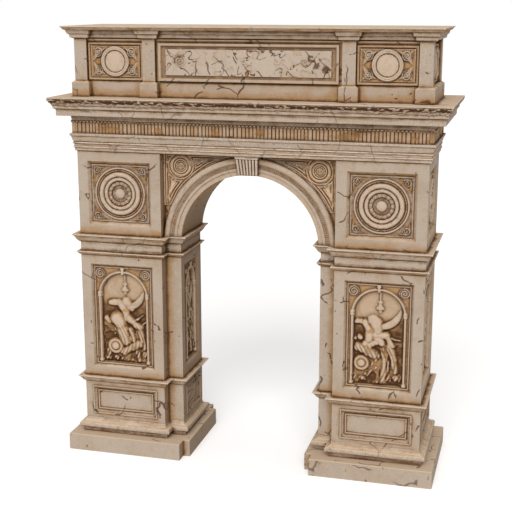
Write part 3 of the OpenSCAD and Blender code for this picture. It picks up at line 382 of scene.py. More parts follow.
# Points are whole arrays; the sign of the closed mesh's volume tells whether its faces look outwards
def addPiece(name, points, quads, caps, depth, slot, replaced=()):
    fans = [np.stack([np.full(len(cap) - 2, cap[0]), cap[1:-1], cap[2:]], axis=1) for cap in caps]
    triangles = np.concatenate([quads[:, [0, 1, 2]], quads[:, [0, 2, 3]], *fans])
    a, b, c = (points[triangles[:, k]] for k in range(3))
    if np.einsum("ij,ij->i", a, np.cross(b, c)).sum() < 0:
        quads = quads[:, ::-1]
        caps = [cap[::-1] for cap in caps]
    corners = np.concatenate([quads.ravel(), *caps]).astype(np.int32)
    sizes = np.concatenate([np.full(len(quads), 4), [len(cap) for cap in caps]]).astype(np.int32)
    starts = np.concatenate([[0], np.cumsum(sizes)[:-1]]).astype(np.int32)
    mesh = bpy.data.meshes.new(name)
    mesh.vertices.add(len(points))
    mesh.vertices.foreach_set("co", points.astype(np.float32).ravel())
    mesh.loops.add(len(corners))
    mesh.loops.foreach_set("vertex_index", corners)
    mesh.polygons.add(len(sizes))
    mesh.polygons.foreach_set("loop_start", starts)
    mesh.update(calc_edges=True)
    mesh.set_sharp_from_angle(angle=math.radians(easing["arris"]))
    # Depth marks dirt and painted shade in hollows; raised, its inverse, marks painted highlight on carved
    # tops
    for label, values in (("depth", depth), ("raised", 1 - np.clip(depth, 0, 1))):
        mesh.attributes.new(label, "FLOAT", "POINT").data.foreach_set("value", values.astype(np.float32))
    mesh.materials.append(finishes[slot])
    piece = addObject(name, mesh)
    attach(piece, "root")
    if replaced:
        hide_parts(*replaced)
    return piece


# A point of a wall face: its origin plus steps across, up and out, turned about the upright axis
def onFace(face, across, up, out):
    across, up, out = np.broadcast_arrays(across, up, out)
    turn = math.radians(face["turn"])
    x = face["origin"][0] + across * math.cos(turn) + out * math.sin(turn)
    y = face["origin"][1] + across * math.sin(turn) - out * math.cos(turn)
    return np.stack([x, y, face["origin"][2] + up], axis=-1)


# Carved slab in the place of a CAD node: a grid of heights in front, straight sides, and a flat back.
# The plan gives the grid's cells and the back's level; a warp moves the grid in its plane
def carveSlab(name, nodeName, face, size, plan, surface, warp=None):
    cells = plan["cells"]
    across, up = np.meshgrid(np.linspace(-0.5, 0.5, cells[0] + 1) * size[0],
                             np.linspace(-0.5, 0.5, cells[1] + 1) * size[1])
    if warp:
        across, up = warp(across, up)
    out, depth = surface(across, up)
    ids = np.arange(across.size).reshape(across.shape)
    quads = np.stack([ids[:-1, :-1], ids[:-1, 1:], ids[1:, 1:], ids[1:, :-1]], axis=-1).reshape(-1, 4)
    rim = np.concatenate([ids[0, :-1], ids[:-1, -1], ids[-1, :0:-1], ids[:0:-1, 0]])
    behind = across.size + np.arange(len(rim))
    edges = np.stack([np.roll(rim, -1), rim, behind, np.roll(behind, -1)], axis=1)
    points = np.concatenate([onFace(face, across, up, out).reshape(-1, 3),
                             onFace(face, across.ravel()[rim], up.ravel()[rim], plan["back"])])
    depth = np.concatenate([depth.ravel(), depth.ravel()[rim]])
    return addPiece(name, points, np.concatenate([quads, edges]), [behind[::-1]], depth, slotOf[nodeName],
                    [nodeName])


# Swept moulding: rings of points, each a closed section, joined along the path and capped at both ends
def sweepSection(name, rings, depth, slot, replaced=()):
    count, around = rings.shape[:2]
    ids = np.arange(count * around).reshape(count, around)
    ahead = np.roll(ids, -1, axis=1)
    quads = np.stack([ids[:-1], ahead[:-1], ahead[1:], ids[1:]], axis=-1).reshape(-1, 4)
    caps = [ids[0][::-1], ids[-1]]
    return addPiece(name, rings.reshape(-1, 3), quads, caps, depth.ravel(), slot, replaced)


# Loop moulding: each point joins the next along its section and along a closed path
def loopMoulding(name, rings, slot):
    ids = np.arange(rings.shape[0] * rings.shape[1]).reshape(rings.shape[:2])
    ahead = np.roll(ids, -1, axis=1)
    quads = np.stack([ids, ahead, np.roll(ahead, -1, axis=0), np.roll(ids, -1, axis=0)], axis=-1)
    depth = np.full(ids.size, mouldingDirt)
    return addPiece(name, rings.reshape(-1, 3), quads.reshape(-1, 4), [], depth, slot)


# A front or back face of a box, with its origin at a place across and a height
def wallFace(box, way, x, z):
    y = box[0][1] if way == "front" else box[1][1]
    return {"origin": (x, y, z), "turn": 0 if way == "front" else 180}


# The four faces of a pier, front, back, end and reveal, each with its origin on its middle at a height
def pierFace(box, way, side, z):
    low, high = box
    middle = [(low[k] + high[k]) / 2 for k in range(2)]
    if way in ("front", "back"):
        return wallFace(box, way, middle[0], z)
    outward = side if way == "end" else -side
    x = high[0] if outward > 0 else low[0]
    return {"origin": (x, middle[1], z), "turn": 90 * outward}


def sunk(face, depth):
    turn = math.radians(face["turn"])
    x, y, z = face["origin"]
    return {"origin": (x - depth * math.sin(turn), y + depth * math.cos(turn), z), "turn": face["turn"]}


# Heights for carving
hashing = {"across": 374761393, "up": 668265263, "seed": 982451653, "mix": 1274126177, "bits": 0xFFFFFFFF}


# Value noise: a hash gives each lattice point a number, blended smoothly between them
def latticeNoise(a, b, seed):
    i, j = np.floor(a).astype(np.int64), np.floor(b).astype(np.int64)
    s, t = a - i, b - j
    s, t = s * s * (3 - 2 * s), t * t * (3 - 2 * t)

    def corner(m, n):
        h = (m * hashing["across"] + n * hashing["up"] + seed * hashing["seed"]) & hashing["bits"]
        h = ((h ^ (h >> 13)) * hashing["mix"]) & hashing["bits"]
        return ((h ^ (h >> 16)) & 0xFFFF) / 65535.0

    low = corner(i, j) * (1 - s) + corner(i + 1, j) * s
    high = corner(i, j + 1) * (1 - s) + corner(i + 1, j + 1) * s
    return low * (1 - t) + high * t


# Weathering: four layers of noise, each twice as fine and half as strong, from 0 to 1
def weather(a, b, seed, pitch):
    shares = [0.5 ** k for k in range(4)]
    layers = [share * latticeNoise(a / (pitch * share), b / (pitch * share), seed + 17 * k)
              for k, share in enumerate(shares)]
    return sum(layers) / sum(shares)


# Roughness of a worn surface: weathering about a mean of nothing
def roughen(a, b, seed, pitch, height):
    return height * (weather(a, b, seed, pitch) - 0.5)


def fade(value, low, high):
    t = np.clip((value - low) / (high - low), 0.0, 1.0)
    return t * t * (3 - 2 * t)


# Patches of weathering: from 0 at its low value to 1 at its high one
def patches(a, b, seed, pitch, low, high):
    return fade(weather(a, b, seed, pitch), low, high)


# Dirt and painted shade in hollows: the whole strength below the low height and none above the high one
def hollowDirtAndShade(height, strength, low, high):
    return strength * (1 - fade(height, low, high))


# Height of a half circle at a distance from its middle
def halfRound(away, half):
    return np.sqrt(np.clip(half ** 2 - away ** 2, 0.0, None))


# A form laid on a surface: inside its mask it shows where it stands higher
def layOn(out, mask, form):
    return np.where(mask, np.maximum(out, form), out)


# Rounded limb: half-round height about a straight line whose radius tapers from one end to the other
def limb(a, b, row):
    ax, az, bx, bz, r0, r1 = row
    dx, dz = bx - ax, bz - az
    along = np.clip(((a - ax) * dx + (b - az) * dz) / (dx * dx + dz * dz + 1e-9), 0.0, 1.0)
    radius = r0 + (r1 - r0) * along
    away = np.hypot(a - ax - along * dx, b - az - along * dz)
    return halfRound(away, radius), away / radius


# Smooth larger of two heights: where they are closer than the blend, the join is filled to a soft valley
def softMax(a, b, blend):
    near = np.clip(blend - np.abs(a - b), 0.0, None) / blend
    return np.maximum(a, b) + 0.25 * blend * near ** 2


# Half-round band about a circle
def hoop(a, b, centre, radius, half):
    return halfRound(np.hypot(a - centre[0], b - centre[1]) - radius, half)


# Scroll: a ridge that winds in to its eye, one turn for each pitch of radius
def scroll(a, b, centre, radius, pitch, hand=1):
    x, z = hand * (a - centre[0]), b - centre[1]
    away = np.hypot(x, z)
    wave = 0.5 + 0.5 * np.cos(2 * math.pi * (away / pitch - np.arctan2(z, x) / (2 * math.pi)))
    return np.where(away < radius, 0.25 + 0.75 * wave, 0.0)


# Petals: a disc whose height rises and falls with the angle and drops to a hollow about the eye
def petals(a, b, centre, radius, count):
    x, z = a - centre[0], b - centre[1]
    away = np.hypot(x, z) / radius
    lobe = 0.5 + 0.5 * np.cos(count * np.arctan2(z, x))
    eye = halfRound(away / 0.3, 1)
    return np.maximum(halfRound(away, 1) * (0.35 + 0.65 * lobe) * fade(away, 0.15, 0.4), eye)


# Relief slabs of the piers: an arched niche between colonnettes, a lamp, a crescent and a worn figure group.
# Rows of a group give a limb's two ends, its two radii and how far it stands off the ground of the niche.
# The crescent is a ring's middle, radius, half breadth, first angle and sweep; a shield is a middle and a
# radius
reliefs = {
    "sink": 0.110, "nicheRadius": 0.885, "nicheDepth": 0.130, "sill": 0.082, "spring": 0.7275,
    "archTop": 1.6125, "top": 0.105, "disc": 0.012, "crescentLift": 0.055, "crescentRound": 0.45,
    "post": {"half": 0.042, "rise": 1.3}, "collar": {"half": 0.075, "above": (0.0, 0.09), "foot": 0.05},
    "key": {"half": 0.05, "spread": 0.1, "drop": 0.09, "out": 0.070},
    "scroll": {"x": 0.95, "z": 1.53, "radius": 0.21, "pitch": 0.075, "out": 0.055},
    "plate": {"level": 0.12, "dome": 0.035, "rim": 0.86, "rimHalf": 0.035, "rimRise": 0.4, "ring": 0.52,
              "line": (0.015, 0.045), "cut": 0.02, "ringDirt": 0.7, "edgeDirt": (0.70, 1.0)},
    # The valley and round marks paint shade between forms and towards their edges; the fold's mark paints
    # shade in the folds
    "flatten": 0.86, "blend": 0.030, "valley": 0.022, "valleyShade": 0.45, "roundShade": (0.30, 1.05),
    "span": 0.225, "bend": (0.26, 0.13), "bendTop": 0.80, "bendFade": 0.2, "figureRough": (0.16, 0.060),
    "fold": {"out": 0.024, "waves": 46, "sway": 0.22, "swayWaves": 2.6, "swayStart": 1.0,
             "below": (0.1, 0.5), "dirt": 0.5, "dark": (0.15, 0.9)},
    "lump": {"out": 0.055, "patches": (0.24, 0.42, 0.62), "below": (0.0, 0.3)}, "rough": (0.16, 0.016),
    # Hollow, frame and rim marks are dirt and painted shade; the high and low values make the niche darker
    # towards the bottom
    "hollowDirtAndShade": (1.0, 0.02, 0.11), "frameDirtAndShade": (0.95, 0.0, 0.06), "rimDirtAndShade": 0.85, "darkeningHigh": 0.50,
    "darkeningLow": 2.10, "lower": (0.30, 0.75), "seed": 5, "back": -0.20, "cells": (112, 188),
    "lamp": [
        (0.04, 1.62, 0.04, 1.10, 0.034, 0.036, 0.04), (0.00, 1.16, 0.08, 1.16, 0.045, 0.045, 0.04),
        (0.04, 1.08, 0.04, 0.98, 0.050, 0.115, 0.04), (-0.05, 0.95, 0.13, 0.95, 0.050, 0.050, 0.06),
        (0.04, 0.84, 0.04, 0.82, 0.075, 0.060, 0.03)],
    "leftGroup": [
        (0.08, 0.50, 0.26, 0.30, 0.19, 0.14, 0.01), (-0.49, 0.47, -0.16, 0.48, 0.11, 0.13, 0.04),
        (-0.16, 0.48, 0.06, 0.21, 0.13, 0.14, 0.05), (0.06, 0.21, 0.09, -0.11, 0.14, 0.12, 0.05),
        (-0.26, -0.08, -0.12, -0.26, 0.29, 0.26, 0.03), (-0.66, -0.11, -0.58, -0.20, 0.13, 0.10, 0.01),
        (0.15, -0.04, 0.37, -0.21, 0.14, 0.13, 0.05), (0.43, -0.26, 0.56, -0.36, 0.14, 0.14, 0.05),
        (0.31, -0.17, 0.70, 0.05, 0.028, 0.028, 0.08), (0.55, -0.35, 0.80, -0.19, 0.028, 0.028, 0.09),
        (-0.33, -0.47, -0.33, -0.48, 0.09, 0.09, 0.02), (-0.35, -0.63, -0.35, -0.64, 0.07, 0.07, 0.02),
        (-0.05, -0.52, 0.04, -0.92, 0.25, 0.19, 0.02), (0.22, -0.54, 0.31, -0.89, 0.14, 0.12, 0.01),
        (0.55, -0.40, 0.72, -1.15, 0.11, 0.10, 0.03), (-0.05, -1.30, 0.31, -1.12, 0.15, 0.16, 0.04),
        (0.31, -1.12, 0.52, -1.00, 0.16, 0.17, 0.04), (0.37, -1.18, 0.40, -1.34, 0.10, 0.06, 0.02),
        (-0.64, -1.30, -0.63, -1.46, 0.10, 0.10, 0.01), (-0.67, -1.60, -0.60, -1.60, 0.08, 0.08, 0.02),
        (-0.34, -1.55, -0.30, -1.57, 0.10, 0.10, 0.02), (-0.12, -1.58, -0.10, -1.58, 0.07, 0.07, 0.02),
        (0.06, -1.58, 0.08, -1.58, 0.07, 0.07, 0.02), (0.25, -1.58, 0.27, -1.58, 0.07, 0.07, 0.02),
        (0.47, -1.30, 0.52, -1.60, 0.07, 0.08, 0.03), (0.73, -1.37, 0.73, -1.39, 0.11, 0.11, 0.03)],
    "rightGroup": [
        (-0.08, 0.45, -0.02, 0.10, 0.20, 0.16, 0.03), (-0.05, -0.05, 0.10, -0.25, 0.17, 0.15, 0.02),
        (-0.05, -0.20, -0.45, -0.42, 0.14, 0.12, 0.03), (-0.18, 0.54, 0.03, 0.25, 0.20, 0.13, 0.01),
        (-0.72, 0.48, -0.45, 0.45, 0.10, 0.12, 0.03),
        (-0.45, 0.45, -0.27, 0.16, 0.14, 0.16, 0.06), (-0.27, 0.16, -0.30, -0.13, 0.16, 0.15, 0.06),
        (-0.30, -0.13, -0.42, -0.34, 0.12, 0.11, 0.05), (-0.58, -0.07, -0.58, -0.09, 0.12, 0.12, 0.04),
        (-0.78, -0.12, -0.78, -0.14, 0.09, 0.09, 0.02), (-0.74, -0.41, -0.33, -0.55, 0.12, 0.19, 0.02),
        (-0.33, -0.55, -0.14, -0.65, 0.19, 0.16, 0.02), (-0.10, 0.04, 0.30, 0.00, 0.15, 0.14, 0.05),
        (0.33, -0.06, 0.45, -0.29, 0.14, 0.11, 0.06), (0.36, 0.02, 0.68, -0.10, 0.026, 0.026, 0.07),
        (0.21, -0.21, 0.15, -0.75, 0.07, 0.08, 0.02), (0.38, -0.30, 0.61, -1.20, 0.13, 0.09, 0.03),
        (0.18, -0.81, 0.18, -1.55, 0.11, 0.13, 0.01), (0.34, -0.90, 0.35, -1.50, 0.07, 0.08, 0.01),
        (0.03, -0.67, -0.27, -1.06, 0.08, 0.06, 0.02), (-0.09, -1.12, -0.33, -1.38, 0.07, 0.05, 0.02),
        (0.61, -1.40, 0.61, -1.41, 0.13, 0.13, 0.03), (0.74, -1.33, 0.76, -1.50, 0.07, 0.07, 0.01),
        (-0.78, -1.40, -0.76, -1.52, 0.09, 0.09, 0.01), (-0.55, -1.52, -0.52, -1.53, 0.11, 0.11, 0.02),
        (-0.40, -1.36, -0.36, -1.40, 0.08, 0.07, 0.02), (-0.02, -1.58, 0.00, -1.58, 0.07, 0.07, 0.02)],
    "shields": {"leftGroup": (-0.36, -1.12, 0.30), "rightGroup": (-0.55, -0.97, 0.28)},
    "crescent": (0.03, 1.02, 0.70, 0.12, 245, 110),
}
# The passage slabs' soil factor deepens their dirt and painted shade
reveals = {"sink": 0.070, "width": 1.330, "nicheRadius": 0.49, "spring": 0.85, "soilAndShade": 1.9, "seed": 40,
           "back": -0.15, "cells": (80, 188)}


# Crescent on a plain disc: a half-round band whose breadth swells from nothing and back over its sweep
def crescentHeight(u, b):
    x, z, radius, half, start, sweep = reliefs["crescent"]
    away = np.hypot(u - x, b - z)
    t = np.mod(np.degrees(np.arctan2(b - z, u - x)) - start, 360) / sweep
    swell = half * np.sin(math.pi * np.clip(t, 0, 1)) ** 0.6
    return away < radius, halfRound(away - radius, swell)


# Figures: limbs with wavy outlines, each laid on where it stands higher, then drapery folds lower down.
# The rim is painted shade towards a form's edge, in the valleys between forms and in the folds
def figureGroup(a, b, u, group, seed):
    r = reliefs
    fold = r["fold"]
    body = np.full(a.shape, -1.0)
    rim = np.zeros(a.shape)
    lower = fade(r["bendTop"] - b, 0.0, r["bendFade"])
    bent = [roughen(u, b, seed + 40 + k, *r["bend"]) * lower for k in range(2)]
    for row in r[group] + r["lamp"]:
        rise, offset = limb(u + bent[0], b + bent[1], row[:6])
        level = np.where(rise > 0, row[6] + r["flatten"] * rise, -1.0)
        valley = r["valleyShade"] * np.clip(1 - np.abs(level - body) / r["valley"], 0, 1)
        rim = np.maximum(np.where(level > body, fade(offset, *r["roundShade"]), rim), valley)
        body = softMax(body, level, r["blend"])
    sway = fold["sway"] * np.sin(fold["swayWaves"] * b + fold["swayStart"])
    folds = np.cos(fold["waves"] * (u + sway)) * fade(-b, *fold["below"])
    rim = np.maximum(rim, fold["dirt"] * fade(-folds, *fold["dark"]))
    body = body + fold["out"] * folds + roughen(a, b, seed + 6, *r["figureRough"])
    return r["span"] * np.tanh(body / r["span"]), rim


# Shield: a domed disc with a raised rim and one dark ring; also its outline, and dirt and painted shade in
# the ring and towards its edge
def shieldPlate(u, b, row):
    p = reliefs["plate"]
    x, z, radius = row
    away = np.hypot(u - x, b - z)
    ring = 1 - fade(np.abs(away - p["ring"] * radius), *p["line"])
    dome = p["level"] + p["dome"] * np.cos(math.pi * away / radius)
    edge = p["rimRise"] * hoop(u, b, (x, z), p["rim"] * radius, p["rimHalf"])
    dirt = np.maximum(p["ringDirt"] * ring, fade(away / radius, *p["edgeDirt"]))
    return away < radius, dome + edge - p["cut"] * ring, dirt


# Frame of the niche: collared colonnettes that carry on as an arch, a small keystone and two corner scrolls
def nicheFrame(out, a, b, arch, radius, spring, sill):
    post, collar, key, corner = (reliefs[label] for label in ("post", "collar", "key", "scroll"))
    shaft = halfRound(arch - radius, post["half"]) * (b > sill)
    out = layOn(out, shaft > 0, post["rise"] * shaft)
    for level in (*(spring + above for above in collar["above"]), sill + collar["foot"]):
        ball = halfRound(np.hypot(np.abs(a) - radius, b - level), collar["half"])
        out = layOn(out, ball > 0, ball)
    above = b - reliefs["archTop"]
    wedged = (np.abs(a) < key["half"] + key["spread"] * above) & (above > -key["drop"])
    out = np.where(wedged, key["out"], out)
    for side, _ in sides:
        eye = (side * radius * corner["x"], corner["z"])
        curl = scroll(a, b, eye, corner["radius"] * radius, corner["pitch"], side)
        out = layOn(out, curl > 0, corner["out"] * curl)
    return out


# Height of a relief: lumpy niche ground, crescent, figures, shield, then the frame. The passage slab is
# narrower, so its arch is stilted and the group is squeezed across. The soil factor deepens the dirt and
# painted shade, and the niche is made darker towards the bottom
def reliefSurface(group, seed, radius, spring, squeeze=1.0, soilAndShade=1.0):
    def surface(a, b):
        r = reliefs
        ground = -r["nicheDepth"]
        sill = r["sill"] - b.max()
        steep = radius / (r["archTop"] - spring)
        arch = np.where(b < spring, np.abs(a), np.hypot(a, (b - spring) * steep))
        niche = (arch < radius) & (b > sill)
        u = a * squeeze
        lump = r["lump"]
        lumps = lump["out"] * patches(a, b, seed + 2, *lump["patches"]) * fade(-b, *lump["below"])
        out = np.where(niche, ground + lumps, 0.0)
        disc, crescent = crescentHeight(u, b)
        out = layOn(out, niche & disc, ground + r["disc"])
        bowed = ground + r["crescentLift"] + r["crescentRound"] * crescent
        out = layOn(out, niche & (crescent > 0), bowed)
        body, rim = figureGroup(a, b, u, group, seed)
        shown = niche & (body > 0) & (ground + body >= out)
        out = np.where(shown, ground + body, out)
        shield, plate, dirt = shieldPlate(u, b, r["shields"][group])
        out = layOn(out, shield, ground + plate)
        dirt = np.where(shield, dirt, np.where(shown, rim, 0))
        out = nicheFrame(out, a, b, arch, radius, spring, sill)
        out = np.minimum(out, r["top"]) + roughen(a, b, seed, *r["rough"])
        depth = np.maximum(hollowDirtAndShade(out - ground, *r["hollowDirtAndShade"]), r["rimDirtAndShade"] * dirt)
        lower = fade(r["crescent"][1] - b, *r["lower"])
        depth = depth * (r["darkeningHigh"] + (r["darkeningLow"] - r["darkeningHigh"]) * lower)
        return out, soilAndShade * np.where(niche, depth, hollowDirtAndShade(out, *r["frameDirtAndShade"]))
    return surface


for side, sideName in sides:
    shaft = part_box(sideName + "_shaft")
    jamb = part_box(sideName + "_jamb")
    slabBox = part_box(sideName + "_front_relief")
    slabSize = (slabBox[1][0] - slabBox[0][0], slabBox[1][2] - slabBox[0][2])
    slabZ = (slabBox[1][2] + slabBox[0][2]) / 2
    for k, way in enumerate(("front", "back", "end")):
        group = "leftGroup" if (side < 0) == (way != "back") else "rightGroup"
        face = sunk(pierFace(shaft, way, side, slabZ), reliefs["sink"])
        seed = reliefs["seed"] + 11 * k + side
        surface = reliefSurface(group, seed, reliefs["nicheRadius"], reliefs["spring"])
        carveSlab(f"{sideName}{way.title()}Relief", f"{sideName}_{way}_relief", face, slabSize, reliefs,
                  surface)
    face = sunk(pierFace(jamb, "reveal", side, slabZ), reveals["sink"])
    group = "leftGroup" if side > 0 else "rightGroup"
    squeeze = reliefs["nicheRadius"] / reveals["nicheRadius"]
    surface = reliefSurface(group, reveals["seed"] + side, reveals["nicheRadius"], reveals["spring"],
                            squeeze, reveals["soilAndShade"])
    carveSlab(f"{sideName}PassageRelief", f"{sideName}_reveal_relief", face, (reveals["width"], slabSize[1]),
              reveals, surface)
print("relief slabs carved")


# Bead section of a given width: steps in from an inset and out from a base, the same for panels and strings
def panelBead(inset, width, base):
    across = np.array([0, 0, 0.22, 0.65, 1, 1]) * width + inset
    out = np.array([-0.4, 0.35, 0.62, 0.62, 0.35, -0.4]) * width + base
    return across, out


# A section carried round a panel's four mitres
def frameMoulding(name, face, size, section, slot):
    inset, out = section
    across, up = (cornerSigns[:, k:k + 1] * (size[k] / 2 - inset) for k in range(2))
    return loopMoulding(name, onFace(face, across, up, out[None, :]), slot)


# Beads in the sunk panels of the piers: the panel's size and middle, then the bead's inset, breadth and base
beads = {
    "_shaft": {"panel": (2.310, 3.765), "middleZ": 4.9675, "bead": (0.088, 0.050, -0.105)},
    "_upper_pier": {"panel": (2.290, 2.215), "middleZ": 9.3675, "bead": (0.112, 0.046, -0.125)},
}
for ending, row in beads.items():
    section = panelBead(*row["bead"])
    for side, sideName in sides:
        nodeName = sideName + ending
        for way in ("front", "back"):
            label = sideName + way.title() + ending.title().replace("_", "")
            face = pierFace(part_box(nodeName), way, side, row["middleZ"])
            frameMoulding(label + "Bead", face, row["panel"], section, slotOf[nodeName])

# Pedestal panels: a rounded bead along the panel's outer edge and another at the foot of its slope
panels = {
    "widths": {"front": 2.444, "back": 2.444, "end": 2.524, "reveal": 1.644}, "height": 1.072,
    "middleZ": 1.810, "edge": 0.055, "foot": 0.165, "sink": 0.080,
}
edgeBead = panelBead(0.0, panels["edge"], 0.0)
footBead = panelBead(panels["foot"], panels["edge"], -panels["sink"])
for side, sideName in sides:
    nodeName = sideName + "_pedestal"
    low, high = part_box(nodeName)
    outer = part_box(sideName + "_shaft")
    die = ((outer[0][0], low[1], low[2]), (outer[1][0], high[1], high[2]))
    for way, width in panels["widths"].items():
        box = die if way in ("front", "back") else (low, high)
        face = pierFace(box, way, side, panels["middleZ"])
        size = (width, panels["height"])
        for label, section in (("PanelEdge", edgeBead), ("PanelFoot", footBead)):
            frameMoulding(sideName + way.title() + label, face, size, section, slotOf[nodeName])
print("panel beads laid")


# Pier roundels: rim bead, thin ring, two broad rings, lacy leaf ring and boss; scrolled leaves in corners.
# Rings give an inner and outer radius and a rise, the outer ring first; the leaves add how many there are.
# Hoops give an inset from the rim, a half breadth and a rise. The corner's shares are of its reach
roundels = {
    "sink": 0.130, "bevel": 0.120, "ground": 0.008, "plate": 0.03, "radius": 0.915,
    "hoops": [(0.032, 0.032, 1.4), (0.11, 0.018, 1.2)],
    "rings": [(0.585, 0.745, 0.095), (0.445, 0.57, 0.07)], "groove": 0.02, "chip": 0.02,
    "chips": (0.10, 0.55, 0.75), "leaves": (0.285, 0.42, 0.10, 14), "leafGround": 0.02, "leafTwist": 40,
    "trench": 0.006, "boss": 0.18, "knob": 0.07, "petals": 8, "petalRise": 0.022, "hollow": 1.04,
    "arc": {"radius": 1.06, "half": 0.022, "rise": 1.1},
    "corner": {"reach": 0.50, "gap": 0.02, "border": 0.032, "borderOut": 0.045, "eye": 0.42,
               "scroll": (0.28, 0.14), "curl": 0.070, "tail": (0.22, 1.2, 0.2), "tailHalf": (0.055, 0.02),
               "tailRise": 0.9},
    "rough": (0.12, 0.012), "least": 0.004, "dirt": (1.5, 0.015, 0.065), "trenchDirtAndShade": 2.2,
    "trenchEase": (0.01, 0.02), "seed": 60, "back": -0.03, "cells": (110, 108),
}


# Height of a crowned ring between two radii: a flattened half circle across its breadth
def crownedRing(away, inner, outer, height):
    t = (away - (inner + outer) / 2) / ((outer - inner) / 2)
    return height * np.clip(1 - t ** 2, 0.0, 1.0) ** 0.35


# Leaf in a corner, in distances from the two edges: borders, a scroll and two trailing leaves
def cornerLeaf(a, b):
    c = roundels["corner"]
    edge = np.minimum(a, b)
    band = np.where((edge > c["gap"]) & (edge < c["gap"] + c["border"]), c["borderOut"], 0.0)
    eye = c["reach"] * c["eye"]
    curl = c["curl"] * scroll(a, b, (eye, eye), *(c["reach"] * share for share in c["scroll"]))
    drop, far, low = (c["reach"] * share for share in c["tail"])
    tails = [limb(*pair, (eye, eye - drop, far, low, *c["tailHalf"]))[0] for pair in ((a, b), (b, a))]
    return np.maximum.reduce([band, curl, *(c["tailRise"] * tail for tail in tails)])


# Height of a roundel's panel: corners outside the hollow, then each ring in turn from the rim to the boss
def roundelPanel(size, seed):
    def surface(a, b):
        p = roundels
        away, turn = np.hypot(a, b), np.arctan2(b, a)
        edgeA, edgeB = size[0] / 2 - np.abs(a), size[1] / 2 - np.abs(b)
        corner = cornerLeaf(edgeA, edgeB)
        arc = p["arc"]["rise"] * hoop(a, b, (0, 0), p["arc"]["radius"], p["arc"]["half"])
        out = np.full(a.shape, p["ground"])
        out = layOn(out, away > p["hollow"], np.maximum(corner, arc))
        out = np.where(away < p["radius"], p["plate"], out)
        for inset, half, rise in p["hoops"]:
            bead = hoop(a, b, (0, 0), p["radius"] - inset, half)
            out = layOn(out, bead > 0, p["plate"] + rise * bead)
        chips = p["chip"] * patches(a, b, seed + 3, *p["chips"])
        for inner, outer, rise in p["rings"]:
            ring = (away > inner) & (away < outer)
            out = np.where(ring, p["plate"] + crownedRing(away, inner, outer, rise) - chips, out)
        groove = (away > p["rings"][1][1]) & (away < p["rings"][0][0])
        out = np.where(groove, p["groove"], out)
        inner, outer, rise, count = p["leaves"]
        twist = 2 * count * turn + p["leafTwist"] * away
        lace = (0.5 + 0.5 * np.cos(count * turn)) * (0.6 + 0.4 * np.cos(twist))
        leaf = p["leafGround"] + crownedRing(away, inner, outer, rise) * (0.25 + 0.75 * lace)
        out = np.where((away > inner) & (away < outer), leaf, out)
        out = np.where((away > p["boss"]) & (away < inner), p["trench"], out)
        knob = p["plate"] + p["knob"] * halfRound(away / p["boss"], 1)
        knob = knob + p["petalRise"] * petals(a, b, (0, 0), p["boss"], p["petals"])
        out = np.where(away < p["boss"], knob, out)
        out = np.maximum(out + roughen(a, b, seed, *p["rough"]), p["least"])
        # Dirt and painted shade: darkest in the trench about the boss, else in the hollows
        dark = (away > p["boss"] + p["trenchEase"][0]) & (away < inner + p["trenchEase"][1])
        return out, np.where(dark, p["trenchDirtAndShade"], hollowDirtAndShade(out, *p["dirt"]))
    return surface


floorSize = tuple(length - 2 * roundels["bevel"] for length in beads["_upper_pier"]["panel"])
for side, sideName in sides:
    nodeName = sideName + "_roundels"
    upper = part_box(sideName + "_upper_pier")
    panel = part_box(sideName + "_roundels")
    panelZ = (panel[0][2] + panel[1][2]) / 2
    for k, way in enumerate(("front", "back", "end")):
        face = sunk(pierFace(upper, way, side, panelZ), roundels["sink"])
        surface = roundelPanel(floorSize, roundels["seed"] + 5 * k + side)
        carveSlab(f"{sideName}{way.title()}Roundel", nodeName, face, floorSize, roundels, surface)
print("pier roundels carved")


# Centre and outer radius of the archivolts, which the spandrels meet
arch = {"centreZ": 7.74, "outer": 3.0}
# Spandrels: a rosette, a scroll under it, a leaf spray towards the crown, and bands that flow round them.
# Start and foot are the field's inner and lower edges; a ring is an inset from the rosette's rim and a half
# breadth; the scroll is its place from the rosette, its radius and pitch; the tail is where its limb ends and
# its two radii
spandrels = {
    "start": 0.45, "foot": 9.0, "sideGap": 0.005, "topGap": 0.01, "rosette": (2.40, 10.37), "radius": 0.34,
    "rings": [(0.03, 0.034), (0.115, 0.03), (0.18, 0.022)], "eye": 0.125, "petals": 8, "pitch": 0.088,
    "plate": 0.02, "ringRise": 1.6, "petalRise": 0.06, "ringGap": 0.01, "wander": (0.25, 0.05),
    "ground": 0.010, "proud": 0.0525, "scroll": (0.264, -0.473, 0.115, 0.055), "curl": 0.06,
    "tail": (2.93, 9.15, 0.09, 0.03), "tailDrop": 0.1, "tailRise": 0.8,
    "leaves": [(1.72, 10.58), (1.30, 10.66), (0.88, 10.72)],
    "leaf": {"stem": (0.30, -0.10), "tip": (-0.16, 0.03), "half": 0.12, "less": 0.02, "tipHalf": 0.035,
             "ground": 0.015, "rise": 0.75, "vein": 0.016, "waves": (18, 26)},
    "rough": (0.10, 0.012), "archGap": 0.02, "startGap": 0.01, "least": 0.004, "dirtAll": 0.25,
    "dirt": (0.55, 0.02, 0.06), "seed": 80, "hidden": -0.05, "back": -0.10, "cells": (104, 92),
}
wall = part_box("spandrel_wall")
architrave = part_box("architrave")
fieldX = (spandrels["start"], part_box("right_upper_pier")[0][0] - spandrels["sideGap"])
fieldZ = (spandrels["foot"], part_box("right_upper_pier")[1][2] - spandrels["topGap"])
fieldSize = (fieldX[1] - fieldX[0], fieldZ[1] - fieldZ[0])
fieldMid = ((fieldX[0] + fieldX[1]) / 2, (fieldZ[0] + fieldZ[1]) / 2)


